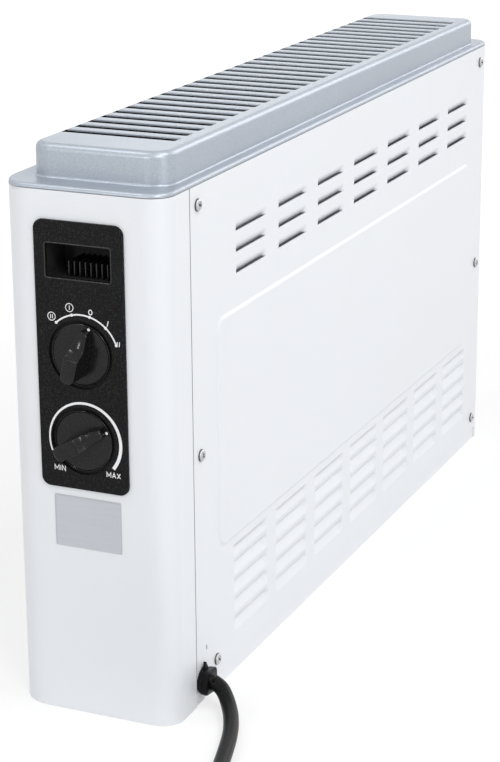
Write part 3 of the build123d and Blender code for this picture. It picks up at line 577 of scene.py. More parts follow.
def piece(name, shells, material, body="casing", replaces=(), angle=35.0, weld=0.00001):
    """One object from several (points, faces) shells, welded and smooth below an angle."""
    places, faces, count = [], [], 0
    for points, polygons in shells:
        places.append(np.asarray(points, float))
        faces += [tuple(corner + count for corner in polygon) for polygon in polygons]
        count += len(points)
    mesh = bpy.data.meshes.new(name)
    mesh.from_pydata(np.concatenate(places).tolist(), [], faces)
    if weld:
        work = bmesh.new()
        work.from_mesh(mesh)
        bmesh.ops.remove_doubles(work, verts=work.verts, dist=weld)
        bmesh.ops.dissolve_degenerate(work, edges=work.edges, dist=weld / 10)
        work.to_mesh(mesh)
        work.free()
    mesh.polygons.foreach_set("use_smooth", np.ones(len(mesh.polygons), bool))
    mesh.set_sharp_from_angle(angle=radians(angle))
    mesh.materials.append(material)
    made = bpy.data.objects.new(name, mesh)
    bpy.context.scene.collection.objects.link(made)
    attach(made, body)
    if replaces:
        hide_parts(*replaces)
    return made


def thicken(made, thickness, edge_round):
    """Gives a sheet its thickness, inwards, and rounds its cut edges."""
    wall = made.modifiers.new("thickness", "SOLIDIFY")
    wall.thickness = thickness
    wall.offset = -1
    wall.use_even_offset = True
    rounding = made.modifiers.new("edges", "BEVEL")
    rounding.width = edge_round
    rounding.segments = 2
    rounding.limit_method = "ANGLE"
    rounding.angle_limit = radians(60)
    return made


def arc(centre, radius, start, stop, steps):
    """Points on an arc in a plane, from one angle to another, in degrees."""
    angles = np.radians(np.linspace(start, stop, steps))
    return np.asarray(centre) + radius * np.stack([np.cos(angles), np.sin(angles)], axis=1)


def rounded_loop(low, high, radii, corner_steps=9, near=0.0006):
    """Rounded rectangle, anticlockwise from its lowest side, with a point near each side's ends."""
    (x0, y0), (x1, y1) = low, high
    r1, r2, r3, r4 = radii
    corners = [
        arc((x1 - r1, y0 + r1), r1, -90, 0, corner_steps),
        arc((x1 - r2, y1 - r2), r2, 0, 90, corner_steps),
        arc((x0 + r3, y1 - r3), r3, 90, 180, corner_steps),
        arc((x0 + r4, y0 + r4), r4, 180, 270, corner_steps),
    ]
    points = []
    for here, after in zip(corners, corners[1:] + corners[:1]):
        way = after[0] - here[-1]
        length = np.linalg.norm(way)
        way = way / max(length, 1e-9)
        inset = min(near, length / 3)
        points += [here, [here[-1] + way * inset], [after[0] - way * inset]]
    return np.concatenate(points)


def framed(low, high, radii):
    """A rounded rectangle as a function of its inset, which is below 0 for a larger one."""
    low, high, radii = np.array(low), np.array(high), np.broadcast_to(radii, 4)
    return lambda inset: rounded_loop(low + inset, high - inset, radii - inset)


def lifted(loop, height, axes=(0, 1, 2)):
    """Plane points at one height: axes says where the two plane axes and the height go."""
    points = np.empty((len(loop), 3))
    points[:, axes[0]] = loop[:, 0]
    points[:, axes[1]] = loop[:, 1]
    points[:, axes[2]] = height
    return points


def smooth(value):
    """0 below 0, 1 above 1, with no kink at either end."""
    t = np.clip(value, 0, 1)
    return t * t * (3 - 2 * t)


def turned(profile, steps, start=0.0):
    """Surface of revolution about Z: each profile row is (radius, height)."""
    angles = start + np.arange(steps) * 2 * pi / steps
    radius, height = np.asarray(profile, float).T
    rows = [np.outer(radius, np.cos(angles)), np.outer(radius, np.sin(angles))]
    return np.stack(rows + [np.repeat(height[:, None], steps, axis=1)], axis=-1)


def placed(points, origin, along, across):
    """Points of a piece made about Z, moved so that Z lies along one direction and X across it."""
    w = np.asarray(along, float) / np.linalg.norm(along)
    u = np.asarray(across, float) - np.dot(across, w) * w
    u = u / np.linalg.norm(u)
    v = np.cross(w, u)
    return np.asarray(origin) + points @ np.stack([u, v, w])


def make_camera():
    """Camera at the photograph's place and angle, with its slight roll."""
    back = Vector(
        (
            sin(camera_azimuth) * cos(camera_elevation),
            -cos(camera_azimuth) * cos(camera_elevation),
            sin(camera_elevation),
        )
    )
    side = (-back).cross(Vector((0, 0, 1))).normalized()
    up = side.cross(-back)
    right = side * cos(camera_roll) + up * sin(camera_roll)
    top = up * cos(camera_roll) - side * sin(camera_roll)
    data = bpy.data.cameras.new("camera")
    data.sensor_fit = "VERTICAL"
    data.sensor_height = camera_sensor
    data.lens = camera_lens
    made = bpy.data.objects.new("camera", data)
    matrix = Matrix((right, top, back)).transposed().to_4x4()
    matrix.translation = camera_place
    made.matrix_world = matrix
    bpy.context.scene.collection.objects.link(made)
    bpy.context.scene.camera = made


def coil_frame():
    """Centre and start angle of the coil, which leaves the route's last run smoothly."""
    tail, head = Vector(cord_route[-2]), Vector(cord_route[-1])
    way = (head - tail).normalized()
    entry = head + way * coil_lead
    outer = coil_inner + coil_pitch * coil_turns_in
    lean = atan2(coil_pitch / (2 * pi), outer)
    start = atan2(way.y, way.x) + pi / 2 + lean
    centre = entry - Vector((cos(start), sin(start), 0)) * outer
    return centre, start


def coil_points():
    """Centre line of the coil: radius grows with the turn's distance from the middle, and the height climbs
    one layer in the half turn at the middle. Points stand out a little, because the spline cuts inside them."""
    centre, start = coil_frame()
    whole = 2 * pi
    count = int((coil_turns_in + coil_turns_out) * coil_steps)
    turn = np.linspace(-coil_turns_in * whole, coil_turns_out * whole, count + 1)
    radius = (coil_inner + coil_pitch * np.abs(turn) / whole) / cos(pi / coil_steps)
    around = start - (turn + coil_turns_in * whole)
    height = cord_radius + coil_pitch * (0.5 + 0.5 * np.sin(np.clip(turn, -pi / 2, pi / 2)))
    over_tie = np.exp(-((((around - start) % whole) - pi) / 0.28) ** 2)
    height = height + 1.2 * tie_thickness * over_tie
    height = height + coil_end_lift * smooth((turn - turn[-1]) / (pi / 4) + 1)
    return np.stack([centre.x + radius * np.cos(around), centre.y + radius * np.sin(around), height], axis=1)


def mains_cord(material):
    """The whole cord as one smooth spline: out of the gland, along the floor and round the coil."""
    coil = coil_points()
    last = coil[-1] - coil[-2]
    tail = coil[-1] + last / np.linalg.norm(last) * coil_lead * np.array([[0.5], [1.0]])
    tail[:, 2] = coil[-1, 2]
    points = np.concatenate([np.array(cord_route), coil, tail])
    curve = bpy.data.curves.new("mains_cord", "CURVE")
    curve.dimensions = "3D"
    curve.bevel_depth = cord_radius
    curve.bevel_resolution = 5
    curve.use_fill_caps = True
    curve.resolution_u = 6
    spline = curve.splines.new("NURBS")
    spline.points.add(len(points) - 1)
    spline.points.foreach_set("co", np.hstack([points, np.ones((len(points), 1))]).ravel())
    spline.order_u = 3
    spline.use_endpoint_u = True
    curve.materials.append(material)
    made = bpy.data.objects.new("mains_cord", curve)
    bpy.context.scene.collection.objects.link(made)
    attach(made, "casing")
    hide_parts("power_cord", "cord_coil")
    return made


def cord_tie(material):
    """A band of tape round the coil: one rounded rectangle about the four cords, carried across its width and
    bent with the coil."""
    centre, start = coil_frame()
    angle = start + pi
    out = np.array([cos(angle), sin(angle), 0])
    side = np.array([-sin(angle), cos(angle), 0])
    inner = coil_inner + coil_pitch / 2 - cord_radius
    outer = inner + coil_pitch + 2 * cord_radius
    low = 1.2 * tie_thickness
    loop = rounded_loop(
        (inner - tie_thickness, low - tie_thickness),
        (outer + tie_thickness, low + coil_pitch + 2 * cord_radius + tie_thickness),
        (cord_radius,) * 4,
        7,
    )
    across = np.linspace(-tie_width / 2, tie_width / 2, 9)[:, None, None]
    bow = across**2 / (inner + outer)
    points = np.array(centre) + across * side + (loop[None, :, :1] - bow) * out
    points[..., 2] = loop[:, 1]
    band = piece("cord_tie", [skin(points, closed_columns=True)], material)
    return thicken(band, tie_thickness, 0.2 * mm)


def outward(shells, centre):
    """Turns a lofted set of shells over as a whole if its first face looks towards the centre."""
    points, faces = shells[0]
    corner = np.asarray(points)[list(faces[0])]
    normal = np.cross(corner[1] - corner[0], corner[2] - corner[0])
    if np.dot(normal, corner.mean(axis=0) - np.asarray(centre)) > 0:
        return shells
    return [(places, [face[::-1] for face in polygons]) for places, polygons in shells]


def evened(made):
    """Takes each vertex normal from its largest faces, so that flat faces stay flat beside rounded edges."""
    evener = made.modifiers.new("even_normals", "WEIGHTED_NORMAL")
    evener.mode = "FACE_AREA"
    evener.weight = 50
    evener.keep_sharp = True
    return made


def end_plane(loop, x):
    """Points of a (Y, Z) loop at one X."""
    return lifted(loop, x, (1, 2, 0))


def casing_shell(material):
    """White wrap: one sheet bent round the back returns, ends and front, with the window's opening."""
    inset = back_y - back_corner
    near_x = end_x - back_corner
    front_x = end_x - front_corner
    front_line = front_y + front_corner
    window_front, window_back = pocket_low.y, pocket_high.y
    near = 0.6 * mm
    path = [
        [[near_seam, back_y], [near_x - near, back_y]],
        arc((near_x, inset), back_corner, 90, 0, 15),
        [[end_x, inset - near], [end_x, window_back], [end_x, window_front], [end_x, front_line + near]],
        arc((front_x, front_line), front_corner, 0, -90, 19),
        [[front_x - near, front_y], [near - front_x, front_y]],
        arc((-front_x, front_line), front_corner, -90, -180, 19),
        [[-end_x, front_line + near], [-end_x, inset - near]],
        arc((far_seam, inset), back_corner, 180, 90, 15),
    ]
    path = np.concatenate(path)
    heights = np.array([shell_low.z, 100 * mm, 200 * mm, pocket_low.z, pocket_high.z, casing_top])
    points = np.empty((len(path), len(heights), 3))
    points[..., :2] = path[:, None]
    points[..., 2] = heights

    def window(corners):
        middle = corners.mean(axis=1)
        beside = (middle[:, 1] > window_front) & (middle[:, 1] < window_back)
        return (middle[:, 0] > end_x - near) & beside & (abs(middle[:, 2] - pocket_mid_z) < 5 * mm)

    flanges = []
    for first, last in ((near_flange_end, near_seam + 4 * mm), (far_seam - 4 * mm, far_flange_end)):
        strip = np.array([[[x, back_y - sheet, z] for z in (shell_low.z, casing_top)] for x in (first, last)])
        flanges.append(skin(strip, flip=True))
    shells = [skin(points, flip=True, hole=window)] + flanges
    made = piece("casing_shell", shells, material, replaces=["casing_wrap"])
    return evened(thicken(made, sheet, sheet_edge_round))


def louvre_lines():
    """Heights of the panel's grid lines over the louvres. Each has its place between a flap's hinge, 0, and its
    open edge, 1, for the upper rows and for the lower rows, and the same for the strips between the lower
    flaps. An open edge comes twice: once for the flap and once for what lies above or below it."""
    lines = []
    rise = np.linspace(0, 1, 9)
    for row in range(upper_rows):
        open_edge = upper_open - row * upper_pitch
        lines.append((open_edge, 0, 0, 0))
        lines += [(open_edge + louvre_height * (1 - v), v, 0, 0) for v in rise[::-1]]
    for row in range(lower_rows):
        open_edge = lower_open - row * lower_pitch
        lines += [(open_edge - lower_height * (1 - v), 0, v, 0) for v in rise]
        strip = lower_pitch - lower_height
        above = [(open_edge + strip * (1 - v), 0, 0, v) for v in (1, 0.75, 0.5, 0.25)]
        lines += above if row else [(open_edge, 0, 0, 0)]
    return lines


def louvre_reach(x_lines, near_edges, width, near_run, far_run):
    """How far along its flap's length a grid line lies: 0 outside, 1 inside, smooth over both ends."""
    reach = np.zeros(len(x_lines))
    for near in near_edges:
        far = near - width
        reach = np.maximum(reach, smooth((near - x_lines) / near_run) * smooth((x_lines - far) / far_run))
    return reach


def back_sheet(material):
    """Back panel: each louvre is pressed in from its hinge as a power curve, ends square at its near side and
    tapers over a few millimetres at its far side. The strips between the lower louvres dip the same way. The
    field between the rows stands out by a smooth step in the distance from its rounded outline, and a shallow
    crease near the far end is a bell curve in X."""
    near_edge = louvre_near - louvre_pitch * np.arange(louvre_columns)
    low_edge = lower_near - lower_column_pitch * np.arange(louvre_columns)
    near_steps = np.array([0, 0.25, 0.5, 0.8, 1.1, 1.5]) * mm
    far_steps = np.array([0, 0.4, 0.9, 1.5, 2.2, 3.0, 3.9, 4.8, 6.0]) * mm
    field_steps = np.concatenate([np.arange(0, 2.7, 0.43), np.arange(3.4, 12.1, 1.2)]) * mm
    x_lines = np.concatenate(
        [
            [panel_low.x, near_seam - seam_shadow_width, hole_x - hole_half, hole_x + hole_half],
            crease_x + np.arange(-6, 6.5, 1.5) * mm,
            (near_edge[:, None] - near_steps).ravel(),
            (near_edge[:, None] - louvre_width + far_steps).ravel(),
            (near_edge[:, None] - louvre_width * np.array([0.3, 0.6])).ravel(),
            (low_edge[:, None] - near_steps).ravel(),
            (low_edge[:, None] - lower_width + far_steps).ravel(),
            field_near - field_steps,
            field_far + field_steps,
        ]
    )
    x_lines = np.unique(np.round(x_lines, 7))
    bounds = [panel_low.z, panel_high.z, hole_z - hole_reach, hole_z + hole_reach]
    plain = np.concatenate([bounds, field_low + field_steps, field_high - field_steps])
    pressed = sorted(louvre_lines(), key=lambda line: round(line[0], 7))
    known = np.array(pressed, float).T
    lines = pressed + [(z,) + tuple(np.interp(z, known[0], value) for value in known[1:]) for z in plain]
    order = sorted(range(len(lines)), key=lambda k: (round(lines[k][0], 7), k))
    z_lines, upper, lower, strip = np.array([lines[k] for k in order], float).T

    reach = louvre_reach(x_lines, near_edge, louvre_width, 1.2 * mm, 4.5 * mm)
    low_reach = louvre_reach(x_lines, low_edge, lower_width, 1.2 * mm, 3.5 * mm)
    x, z = np.meshgrid(x_lines, z_lines, indexing="ij")
    lift = -louvre_depth * reach[:, None] * upper**1.35
    lift = lift - low_reach[:, None] * (lower_depth * lower**1.1 + lower_dip * strip**1.3)
    half = np.array([(field_near - field_far) / 2, (field_high - field_low) / 2])
    middle = np.array([(field_near + field_far) / 2, (field_high + field_low) / 2])
    beyond_x = np.abs(x - middle[0]) - half[0] + field_corner
    beyond_z = np.abs(z - middle[1]) - half[1] + field_corner
    outside = np.hypot(np.maximum(beyond_x, 0), np.maximum(beyond_z, 0))
    distance = outside + np.minimum(np.maximum(beyond_x, beyond_z), 0) - field_corner
    lift = lift + field_rise * smooth(-distance / field_bevel)
    lift = lift - crease_depth * np.exp(-(((x - crease_x) / (3 * mm)) ** 2))
    points = np.stack([x, back_y + lift, z], axis=-1)

    def cut(corners):
        low, high = corners[..., 2].min(axis=1), corners[..., 2].max(axis=1)
        middle = corners.mean(axis=1)
        in_hole = (abs(middle[:, 0] - hole_x) < hole_half) & (abs(middle[:, 2] - hole_z) < hole_reach)
        return (high - low < 0.001 * mm) | in_hole

    shells = [skin(points, flip=True, hole=cut)]
    made = piece("back_sheet", shells, material, replaces=["back_panel"], angle=50)
    return evened(thicken(made, sheet, 0.2 * mm))


def seam_shadow_strip(material):
    """Thin dark strip in the near seam, a hair below the sheets: a painted shadow of the gap between them."""
    low, high = near_seam - seam_shadow_width, near_seam + 0.3 * mm
    strip = [[[x, back_y - 0.06 * mm, z] for z in (panel_low.z, panel_high.z)] for x in (low, high)]
    made = piece("seam_shadow_strip", [skin(np.array(strip), flip=True)], material)
    return thicken(made, 0.5 * mm, 0.05 * mm)


def slot_cutters():
    """The grille's slots as one cutting piece: upright rounded rectangles that flare at the mouth."""
    flare = 0.7 * mm
    corner = 1.2 * mm
    bend = np.radians(np.linspace(0, 90, 5))
    rows = [(-roof_depth - 1 * mm, 0.0)]
    rows += [(-flare + flare * sin(angle), flare * (1 - cos(angle))) for angle in bend]
    rows += [(3 * mm, flare)]
    shells = []
    for number in range(slot_count):
        x = first_slot - number * slot_pitch
        loops = [
            lifted(
                rounded_loop(
                    (x - slot_width / 2 - grow, slot_front - grow),
                    (x + slot_width / 2 + grow, slot_back + grow),
                    (corner + grow,) * 4,
                    4,
                ),
                grille_high.z + rise,
            )
            for rise, grow in rows
        ]
        shells += capped(np.array(loops), flip=True)
    return shells


def carved(made, cutter):
    """Cuts a closed piece out of another, keeps the result as its mesh and marks its sharp edges again."""
    cut = made.modifiers.new("cuts", "BOOLEAN")
    cut.operation = "DIFFERENCE"
    cut.solver = "EXACT"
    cut.object = cutter
    graph = bpy.context.evaluated_depsgraph_get()
    mesh = bpy.data.meshes.new_from_object(made.evaluated_get(graph))
    made.modifiers.clear()
    made.data = mesh
    mesh.polygons.foreach_set("use_smooth", np.ones(len(mesh.polygons), bool))
    mesh.set_sharp_from_angle(angle=radians(32))
    bpy.data.objects.remove(cutter)
    return made


def skewed(made):
    """Leans the raised body a little along its length: front wall, slots and roof are shifted by straight
    functions of x and blended over y and z. The place before the shift stays as the attribute "moulded"."""
    mesh = made.data
    flat = np.empty(len(mesh.vertices) * 3, np.float32)
    mesh.vertices.foreach_get("co", flat)
    mesh.attributes.new("moulded", "FLOAT_VECTOR", "POINT").data.foreach_set("vector", flat)
    points = flat.reshape(-1, 3).astype(float)
    t = points[:, 0] / raised_end
    front = front_skew[0] + front_skew[1] * t
    back = back_skew * t
    y = points[:, 1]
    wall = smooth((y - front_y - 2.5 * mm) / (raised_front - front_y - 4.5 * mm))
    along = np.clip((y - slot_front) / (slot_back - slot_front), 0, 1)
    beyond = np.clip((raised_back - y) / (raised_back - slot_back), 0, 1)
    points[:, 1] += (front * wall * (1 - along) + back * along) * beyond
    rise = np.clip((points[:, 2] - flange_top) / (grille_high.z - flange_top), 0, 1)
    points[:, 2] -= roof_fall * (1 - t) * rise
    mesh.vertices.foreach_set("co", points.astype(np.float32).ravel())
    mesh.update()
    return made


def grille_moulding(material):
    """Silver moulding: a flange on the casing's outline, a raised hollow body with rounded edges, and slots."""
    corners = (front_corner, back_corner, back_corner, front_corner)
    outline = framed((-end_x, front_y), (end_x, back_y), corners)
    raised = framed((-raised_end, raised_front), (raised_end, raised_back), raised_corner)
    rows = [(casing_top + 0.02 * mm, outline(0.8 * mm)), (casing_top + 0.22 * mm, outline(0.5 * mm))]
    rows += [(casing_top + 0.4 * mm, outline(0.1 * mm)), (casing_top + 0.55 * mm, outline(0))]
    for angle in np.radians(np.linspace(0, 90, 8)):
        rise = flange_round * (sin(angle) - 1)
        rows.append((flange_top + rise, outline(flange_round * (1 - cos(angle)))))
    for angle in np.radians([0, 18, 36, 54, 72, 90]):
        rows.append((flange_top + foot_round * (1 - cos(angle)), raised(foot_round * (sin(angle) - 1))))
    for angle in np.radians(np.linspace(0, 90, 9)):
        height = grille_high.z - top_round + top_round * sin(angle)
        rows.append((height, raised(top_round * (1 - cos(angle)))))
    outer = np.array([lifted(loop, height) for height, loop in rows])
    inner_rows = [
        (casing_top + 0.02 * mm, outline(0.8 * mm)),
        (casing_top + 0.02 * mm, raised(grille_wall)),
        (grille_high.z - roof_depth, raised(grille_wall)),
    ]
    inner = np.array([lifted(loop, height) for height, loop in inner_rows])
    shells = [
        skin(outer, closed_columns=True, flip=True),
        lid(outer[-1]),
        skin(inner, closed_columns=True),
        lid(inner[-1], flip=True),
    ]
    made = piece("grille_moulding", shells, material, replaces=["top_grille"])
    cutter = piece("slot_cutter", slot_cutters(), material)
    return evened(skewed(carved(made, cutter)))


def control_plate(material):
    """Black plate on the end, with rounded edges, a window with a softened rim and a round well under each
    knob."""
    outer = framed((fascia_low.y, fascia_low.z), (fascia_high.y, fascia_high.z), fascia_corner)
    inner = framed(window_low, window_high, window_corner)
    rim = 0.5 * mm
    bend = np.radians([0, 30, 60, 90])
    rows = [(end_x, outer(0))]
    rows += [(fascia_x - rim + rim * sin(angle), outer(rim * (1 - cos(angle)))) for angle in bend]
    rows += [(fascia_x - rim + rim * cos(angle), inner(-rim * (1 - sin(angle)))) for angle in bend]
    rows += [(end_x, inner(0))]
    points = np.array([end_plane(loop, x) for x, loop in rows])
    shells = [skin(points, closed_rows=True, closed_columns=True, flip=True)]
    made = piece("control_plate", shells, material, replaces=["fascia_plate"])
    flare = 0.3 * mm
    profile = [(well_radius, well_floor)]
    profile += [(well_radius + flare * (1 - cos(a)), fascia_x - flare + flare * sin(a)) for a in bend]
    profile += [(well_radius + flare, fascia_x + 2 * mm)]
    wells = []
    for place in (mode_place, thermostat_place):
        well = placed(turned(profile, 96), (0, place[0], place[1]), (1, 0, 0), (0, 0, 1))
        wells += outward(capped(well), (fascia_x, place[0], place[1]))
    cutter = piece("well_cutter", wells, material)
    return evened(carved(made, cutter))


def grip_recess(material, lip_material):
    """Black box behind the window, open to the end, with a polished lip round its mouth and a row of upright
    fins on its floor."""
    wall = 1.5 * mm
    loop = framed(window_low, window_high, window_corner)
    back = pocket_low.x
    rows = [(back + wall, loop(0.8 * mm)), (back + wall + 0.8 * mm, loop(0)), (end_x, loop(0))]
    rows += [(end_x, loop(-wall)), (back, loop(-wall))]
    points = np.array([end_plane(outline, x) for x, outline in rows])
    shells = [skin(points, closed_columns=True), lid(points[0]), lid(points[-1], flip=True)]
    box = piece("grip_recess", shells, material, replaces=["grip_pocket"])

    lip = 0.45 * mm
    bend = np.radians(np.linspace(0, 180, 9))
    rows = [(end_x, loop(lip))]
    rows += [(fascia_x - 0.05 * mm + lip * sin(a), loop(lip * cos(a))) for a in bend]
    points = np.array([end_plane(outline, x) for x, outline in rows])
    shells = [skin(points, closed_columns=True)]
    first = (window_low[0] + window_high[0]) / 2 - 9.4 * mm
    for number in range(8):
        y = first + number * 3.75 * mm
        low, high = (back + wall - 0.2 * mm, y - 0.45 * mm), (end_x - 4 * mm, y + 0.45 * mm)
        top = window_low[1] + 10 * mm
        heights = [(window_low[1] - 0.2 * mm, 0), (top - 0.35 * mm, 0)]
        heights += [(top - 0.1 * mm, 0.1 * mm), (top, 0.3 * mm)]
        fin = []
        for z, cut in heights:
            corners = (low[0], low[1] + cut), (high[0] - cut, high[1] - cut)
            fin.append(lifted(rounded_loop(*corners, (0.44 * mm - cut,) * 4, 4), z))
        shells += capped(np.array(fin), flip=True)
    fins = piece("recess_lip_and_fins", shells, lip_material)
    return evened(box), evened(fins)


def blank_label(material):
    """Thin blank plate with rounded corners."""
    low, high = (label_low.y, label_low.z + 1.2 * mm), (label_high.y - 0.8 * mm, label_high.z)
    loop = framed(low, high, 0.9 * mm)
    rows = [(end_x, loop(0)), (label_high.x - 0.08 * mm, loop(0)), (label_high.x, loop(0.1 * mm))]
    points = np.array([end_plane(outline, x) for x, outline in rows])
    shells = [skin(points, closed_columns=True), lid(points[-1])]
    shells = outward(shells, (end_x - 10 * mm, points[..., 1].mean(), points[..., 2].mean()))
    return evened(piece("blank_label", shells, material, replaces=["label_plate"]))


def ribbon(path, width, closed=False):
    """A flat stroke along a (Y, Z) path: each side is offset by half the width, mitred at the corners."""
    path = np.asarray(path, float)
    ahead = np.roll(path, -1, axis=0) - path
    if not closed:
        ahead[-1] = ahead[-2]
    ahead /= np.linalg.norm(ahead, axis=1, keepdims=True)
    behind = np.roll(ahead, 1, axis=0)
    if not closed:
        behind[0] = ahead[0]
    along = ahead + behind
    along /= np.linalg.norm(along, axis=1, keepdims=True)
    across = np.stack([-along[:, 1], along[:, 0]], axis=1)
    square = np.abs((across * np.stack([-ahead[:, 1], ahead[:, 0]], axis=1)).sum(axis=1))
    offset = across * (np.broadcast_to(width, len(path)) / 2 / np.maximum(square, 0.35))[:, None]
    return np.stack([path - offset, path + offset], axis=1), closed


def inked(strokes, material, name):
    """Printed strokes on the control plate, each a hair above the last so that none lie in one plane."""
    shells = []
    for number, (pairs, closed) in enumerate(strokes):
        points = np.empty(pairs.shape[:2] + (3,))
        points[..., 0] = fascia_x + ink_proud + number * 0.001 * mm
        points[..., 1:] = pairs
        shells.append(skin(points, closed_rows=closed))
    return piece(name, shells, material, weld=0)


def dial_arc(centre, radius, start, stop, width, steps=60):
    """A stroke on a circle, from one clock angle to another, in degrees."""
    angles = np.radians(np.linspace(start, stop, steps))
    path = np.asarray(centre) + radius * np.stack([np.sin(angles), np.cos(angles)], axis=1)
    return ribbon(path, np.linspace(width[0], width[1], steps))


def ring(centre, radius, width, stretch=1.0, steps=32):
    """A closed round or oval stroke."""
    angles = np.linspace(0, 2 * pi, steps, endpoint=False)
    path = np.asarray(centre) + radius * np.stack([np.cos(angles) / stretch, np.sin(angles) * stretch], axis=1)
    return ribbon(path, width, closed=True)


def dot(centre, radius):
    """A filled round mark: a ring as wide as its own middle line allows."""
    return ring(centre, radius / 2, radius)


def bars(centre, count, height, gap, width, lean=0.0):
    """Upright strokes side by side, for I and II, leaning towards +Y by a part of their height."""
    y, z = centre
    half = height / 2
    places = y + (np.arange(count) - (count - 1) / 2) * gap
    tilt = lean * half
    return [ribbon([[place - tilt, z - half], [place + tilt, z + half]], width) for place in places]


letters = {
    "M": (1.0, [[(0, 0), (0, 1), (0.5, 0.3), (1, 1), (1, 0)]]),
    "I": (0.0, [[(0, 0), (0, 1)]]),
    "N": (0.72, [[(0, 0), (0, 1), (1, 0), (1, 1)]]),
    "A": (0.85, [[(0, 0), (0.5, 1), (1, 0)], [(0.2, 0.33), (0.8, 0.33)]]),
    "X": (0.8, [[(0, 0), (1, 1)], [(0, 1), (1, 0)]]),
}


def lettering(word, centre, gap, stretch):
    """A word in plain strokes, centred, with its letters and gaps stretched along the line."""
    gap = gap * stretch
    spans = [letters[letter][0] * letter_height * stretch for letter in word]
    start = centre[0] - (sum(spans) + gap * (len(word) - 1)) / 2
    strokes = []
    for letter, span in zip(word, spans):
        for path in letters[letter][1]:
            points = np.array(path) * [span, letter_height] + [start, centre[1] - letter_height / 2]
            strokes.append(ribbon(points, letter_stroke))
        start += span + gap
    return strokes


def dial_marks(material):
    """White marks round both dials: arcs, dots, 0, I, II, the two circled steps, MIN and MAX."""
    y, z = mode_marks
    strokes = [dial_arc((y, z), mode_arc, mode_steps[0], mode_steps[-1], (1.0 * mm, 1.0 * mm))]
    for step in mode_steps:
        angle = radians(step)
        strokes.append(dot((y + mode_arc * sin(angle), z + mode_arc * cos(angle)), 0.95 * mm))
    spots = {number: np.array(spot) * mm for number, spot in enumerate(symbol_spots)}
    for number, count in ((0, 2), (1, 1)):
        strokes.append(ring(spots[number], 2.55 * mm, 0.5 * mm))
        strokes += bars(spots[number], count, 2.6 * mm, 1.3 * mm, letter_stroke)
    strokes.append(ring(spots[2], 1.3 * mm, symbol_stroke, 1.12))
    strokes += bars(spots[3], 1, 3.4 * mm, 0, symbol_stroke, 0.28)
    strokes += bars(spots[4], 2, 2.9 * mm, 1.5 * mm, symbol_stroke, 0.1)
    y, z = thermostat_marks
    strokes.append(dial_arc((y, z), thermostat_arc, *thermostat_sweep, (1.0 * mm, 2.3 * mm), 100))
    strokes += lettering("MIN", (-17.6 * mm, 165.75 * mm), 1.3 * mm, 0.9)
    strokes += lettering("MAX", (19.4 * mm, 165.7 * mm), 1.2 * mm, 0.85)
    return inked(strokes, material, "dial_marks")


def pointer_knob(name, place, angle, body, node, material):
    """Pointer knob: a disc with a rim bead, sunk in its well, and an upright bar. The bar's top is level over
    the tail, drops steeply past the middle and runs down to the tip. Across, it is crowned as a parabola, and
    its ends are rounded as quarter circles."""
    face = disc_face - fascia_x
    rim = disc_radius / mm
    disc = [(0.01, 0), (rim - 1.45, 0), (rim - 1.1, 0.22), (rim - 0.75, 0.6), (rim - 0.4, 0.7)]
    disc += [(rim - 0.12, 0.5), (rim, 0.15), (rim, -1.15)]
    disc = np.array(disc) * mm
    disc[:, 1] += face
    shells = [skin(turned(disc, 96), closed_columns=True)]
    stations = np.concatenate(
        [
            [-15.2, -15.1, -14.8, -14.3, -13.6, -12.7, -11.5],
            np.arange(-10, -1.9, 2),
            np.arange(-1.2, 5.9, 0.6),
            np.arange(6.8, 14.1, 1.2),
            [14.6, 15.1, 15.5, 15.8, 16.0, 16.1],
        ]
    )
    drop = smooth((stations + 0.2) / 6.6)
    fall = np.clip((stations - 5.4) / 10.7, 0, 1)
    top = 13.4 * (1 - drop) + (7.4 - 4.3 * fall + 0.5 * np.sin(pi * fall)) * drop
    tail = 1 - np.clip((stations + 15.2) / 3.6, 0, 1)
    tip = 1 - np.clip((16.1 - stations) / 1.6, 0, 1)
    half = 4.7 - 1.9 * smooth((stations - 3) / 14)
    half = half - 3.6 * (1 - np.sqrt(1 - tail**2)) - 1.4 * (1 - np.sqrt(1 - tip**2))
    top = top - 0.8 * (1 - np.sqrt(1 - tail**2)) - 0.6 * (1 - np.sqrt(1 - tip**2))
    edge = 0.6
    foot = 0.15
    crown = 0.12 + 0.4 * drop
    across, height = [], []
    for turn in np.radians(np.linspace(0, 90, 5)):
        across.append(half + foot * (1 - np.sin(turn)))
        height.append(np.full(len(stations), foot * (1 - cos(turn))) + face / mm - 0.02)
    for turn in np.radians([0, 30, 60, 90]):
        across.append(half - edge * (1 - cos(turn)))
        height.append(top - edge + edge * sin(turn))
    for inward in (0.66, 0.33):
        across.append((half - edge) * inward)
        height.append(top + crown * (1 - inward**2))
    across, height = np.array(across), np.array(height)
    across = np.concatenate([-across, 0 * across[:1], across[::-1]])
    height = np.concatenate([height, [top + crown], height[::-1]])
    bar = np.stack([np.broadcast_to(stations, across.shape), across, height], axis=-1).transpose(1, 0, 2) * mm
    shells += [skin(bar), lid(bar[0]), lid(bar[-1], flip=True)]
    direction = np.array([0, sin(angle), cos(angle)])
    origin = (fascia_x, place[0], place[1])
    shells = [(placed(np.asarray(points), origin, (1, 0, 0), direction), faces) for points, faces in shells]
    made = piece(name, shells, material, body=body, replaces=[node], angle=38)
    return evened(made)


def pointer_dot(name, place, angle, body, material):
    """Printed white dot on the disc, beside the pointer's tip."""
    spread = np.linspace(0, 2 * pi, 24, endpoint=False)
    u, v = 17.4 + 0.95 * np.cos(spread), 1.5 + 0.95 * np.sin(spread)
    face = disc_face + ink_proud
    points = np.empty((24, 3))
    points[:, 0] = face
    points[:, 1] = place[0] + (u * sin(angle) + v * cos(angle)) * mm
    points[:, 2] = place[1] + (u * cos(angle) - v * sin(angle)) * mm
    shells = outward([lid(points)], (face - 1 * mm, place[0], place[1]))
    return piece(name, shells, material, body=body, weld=0)


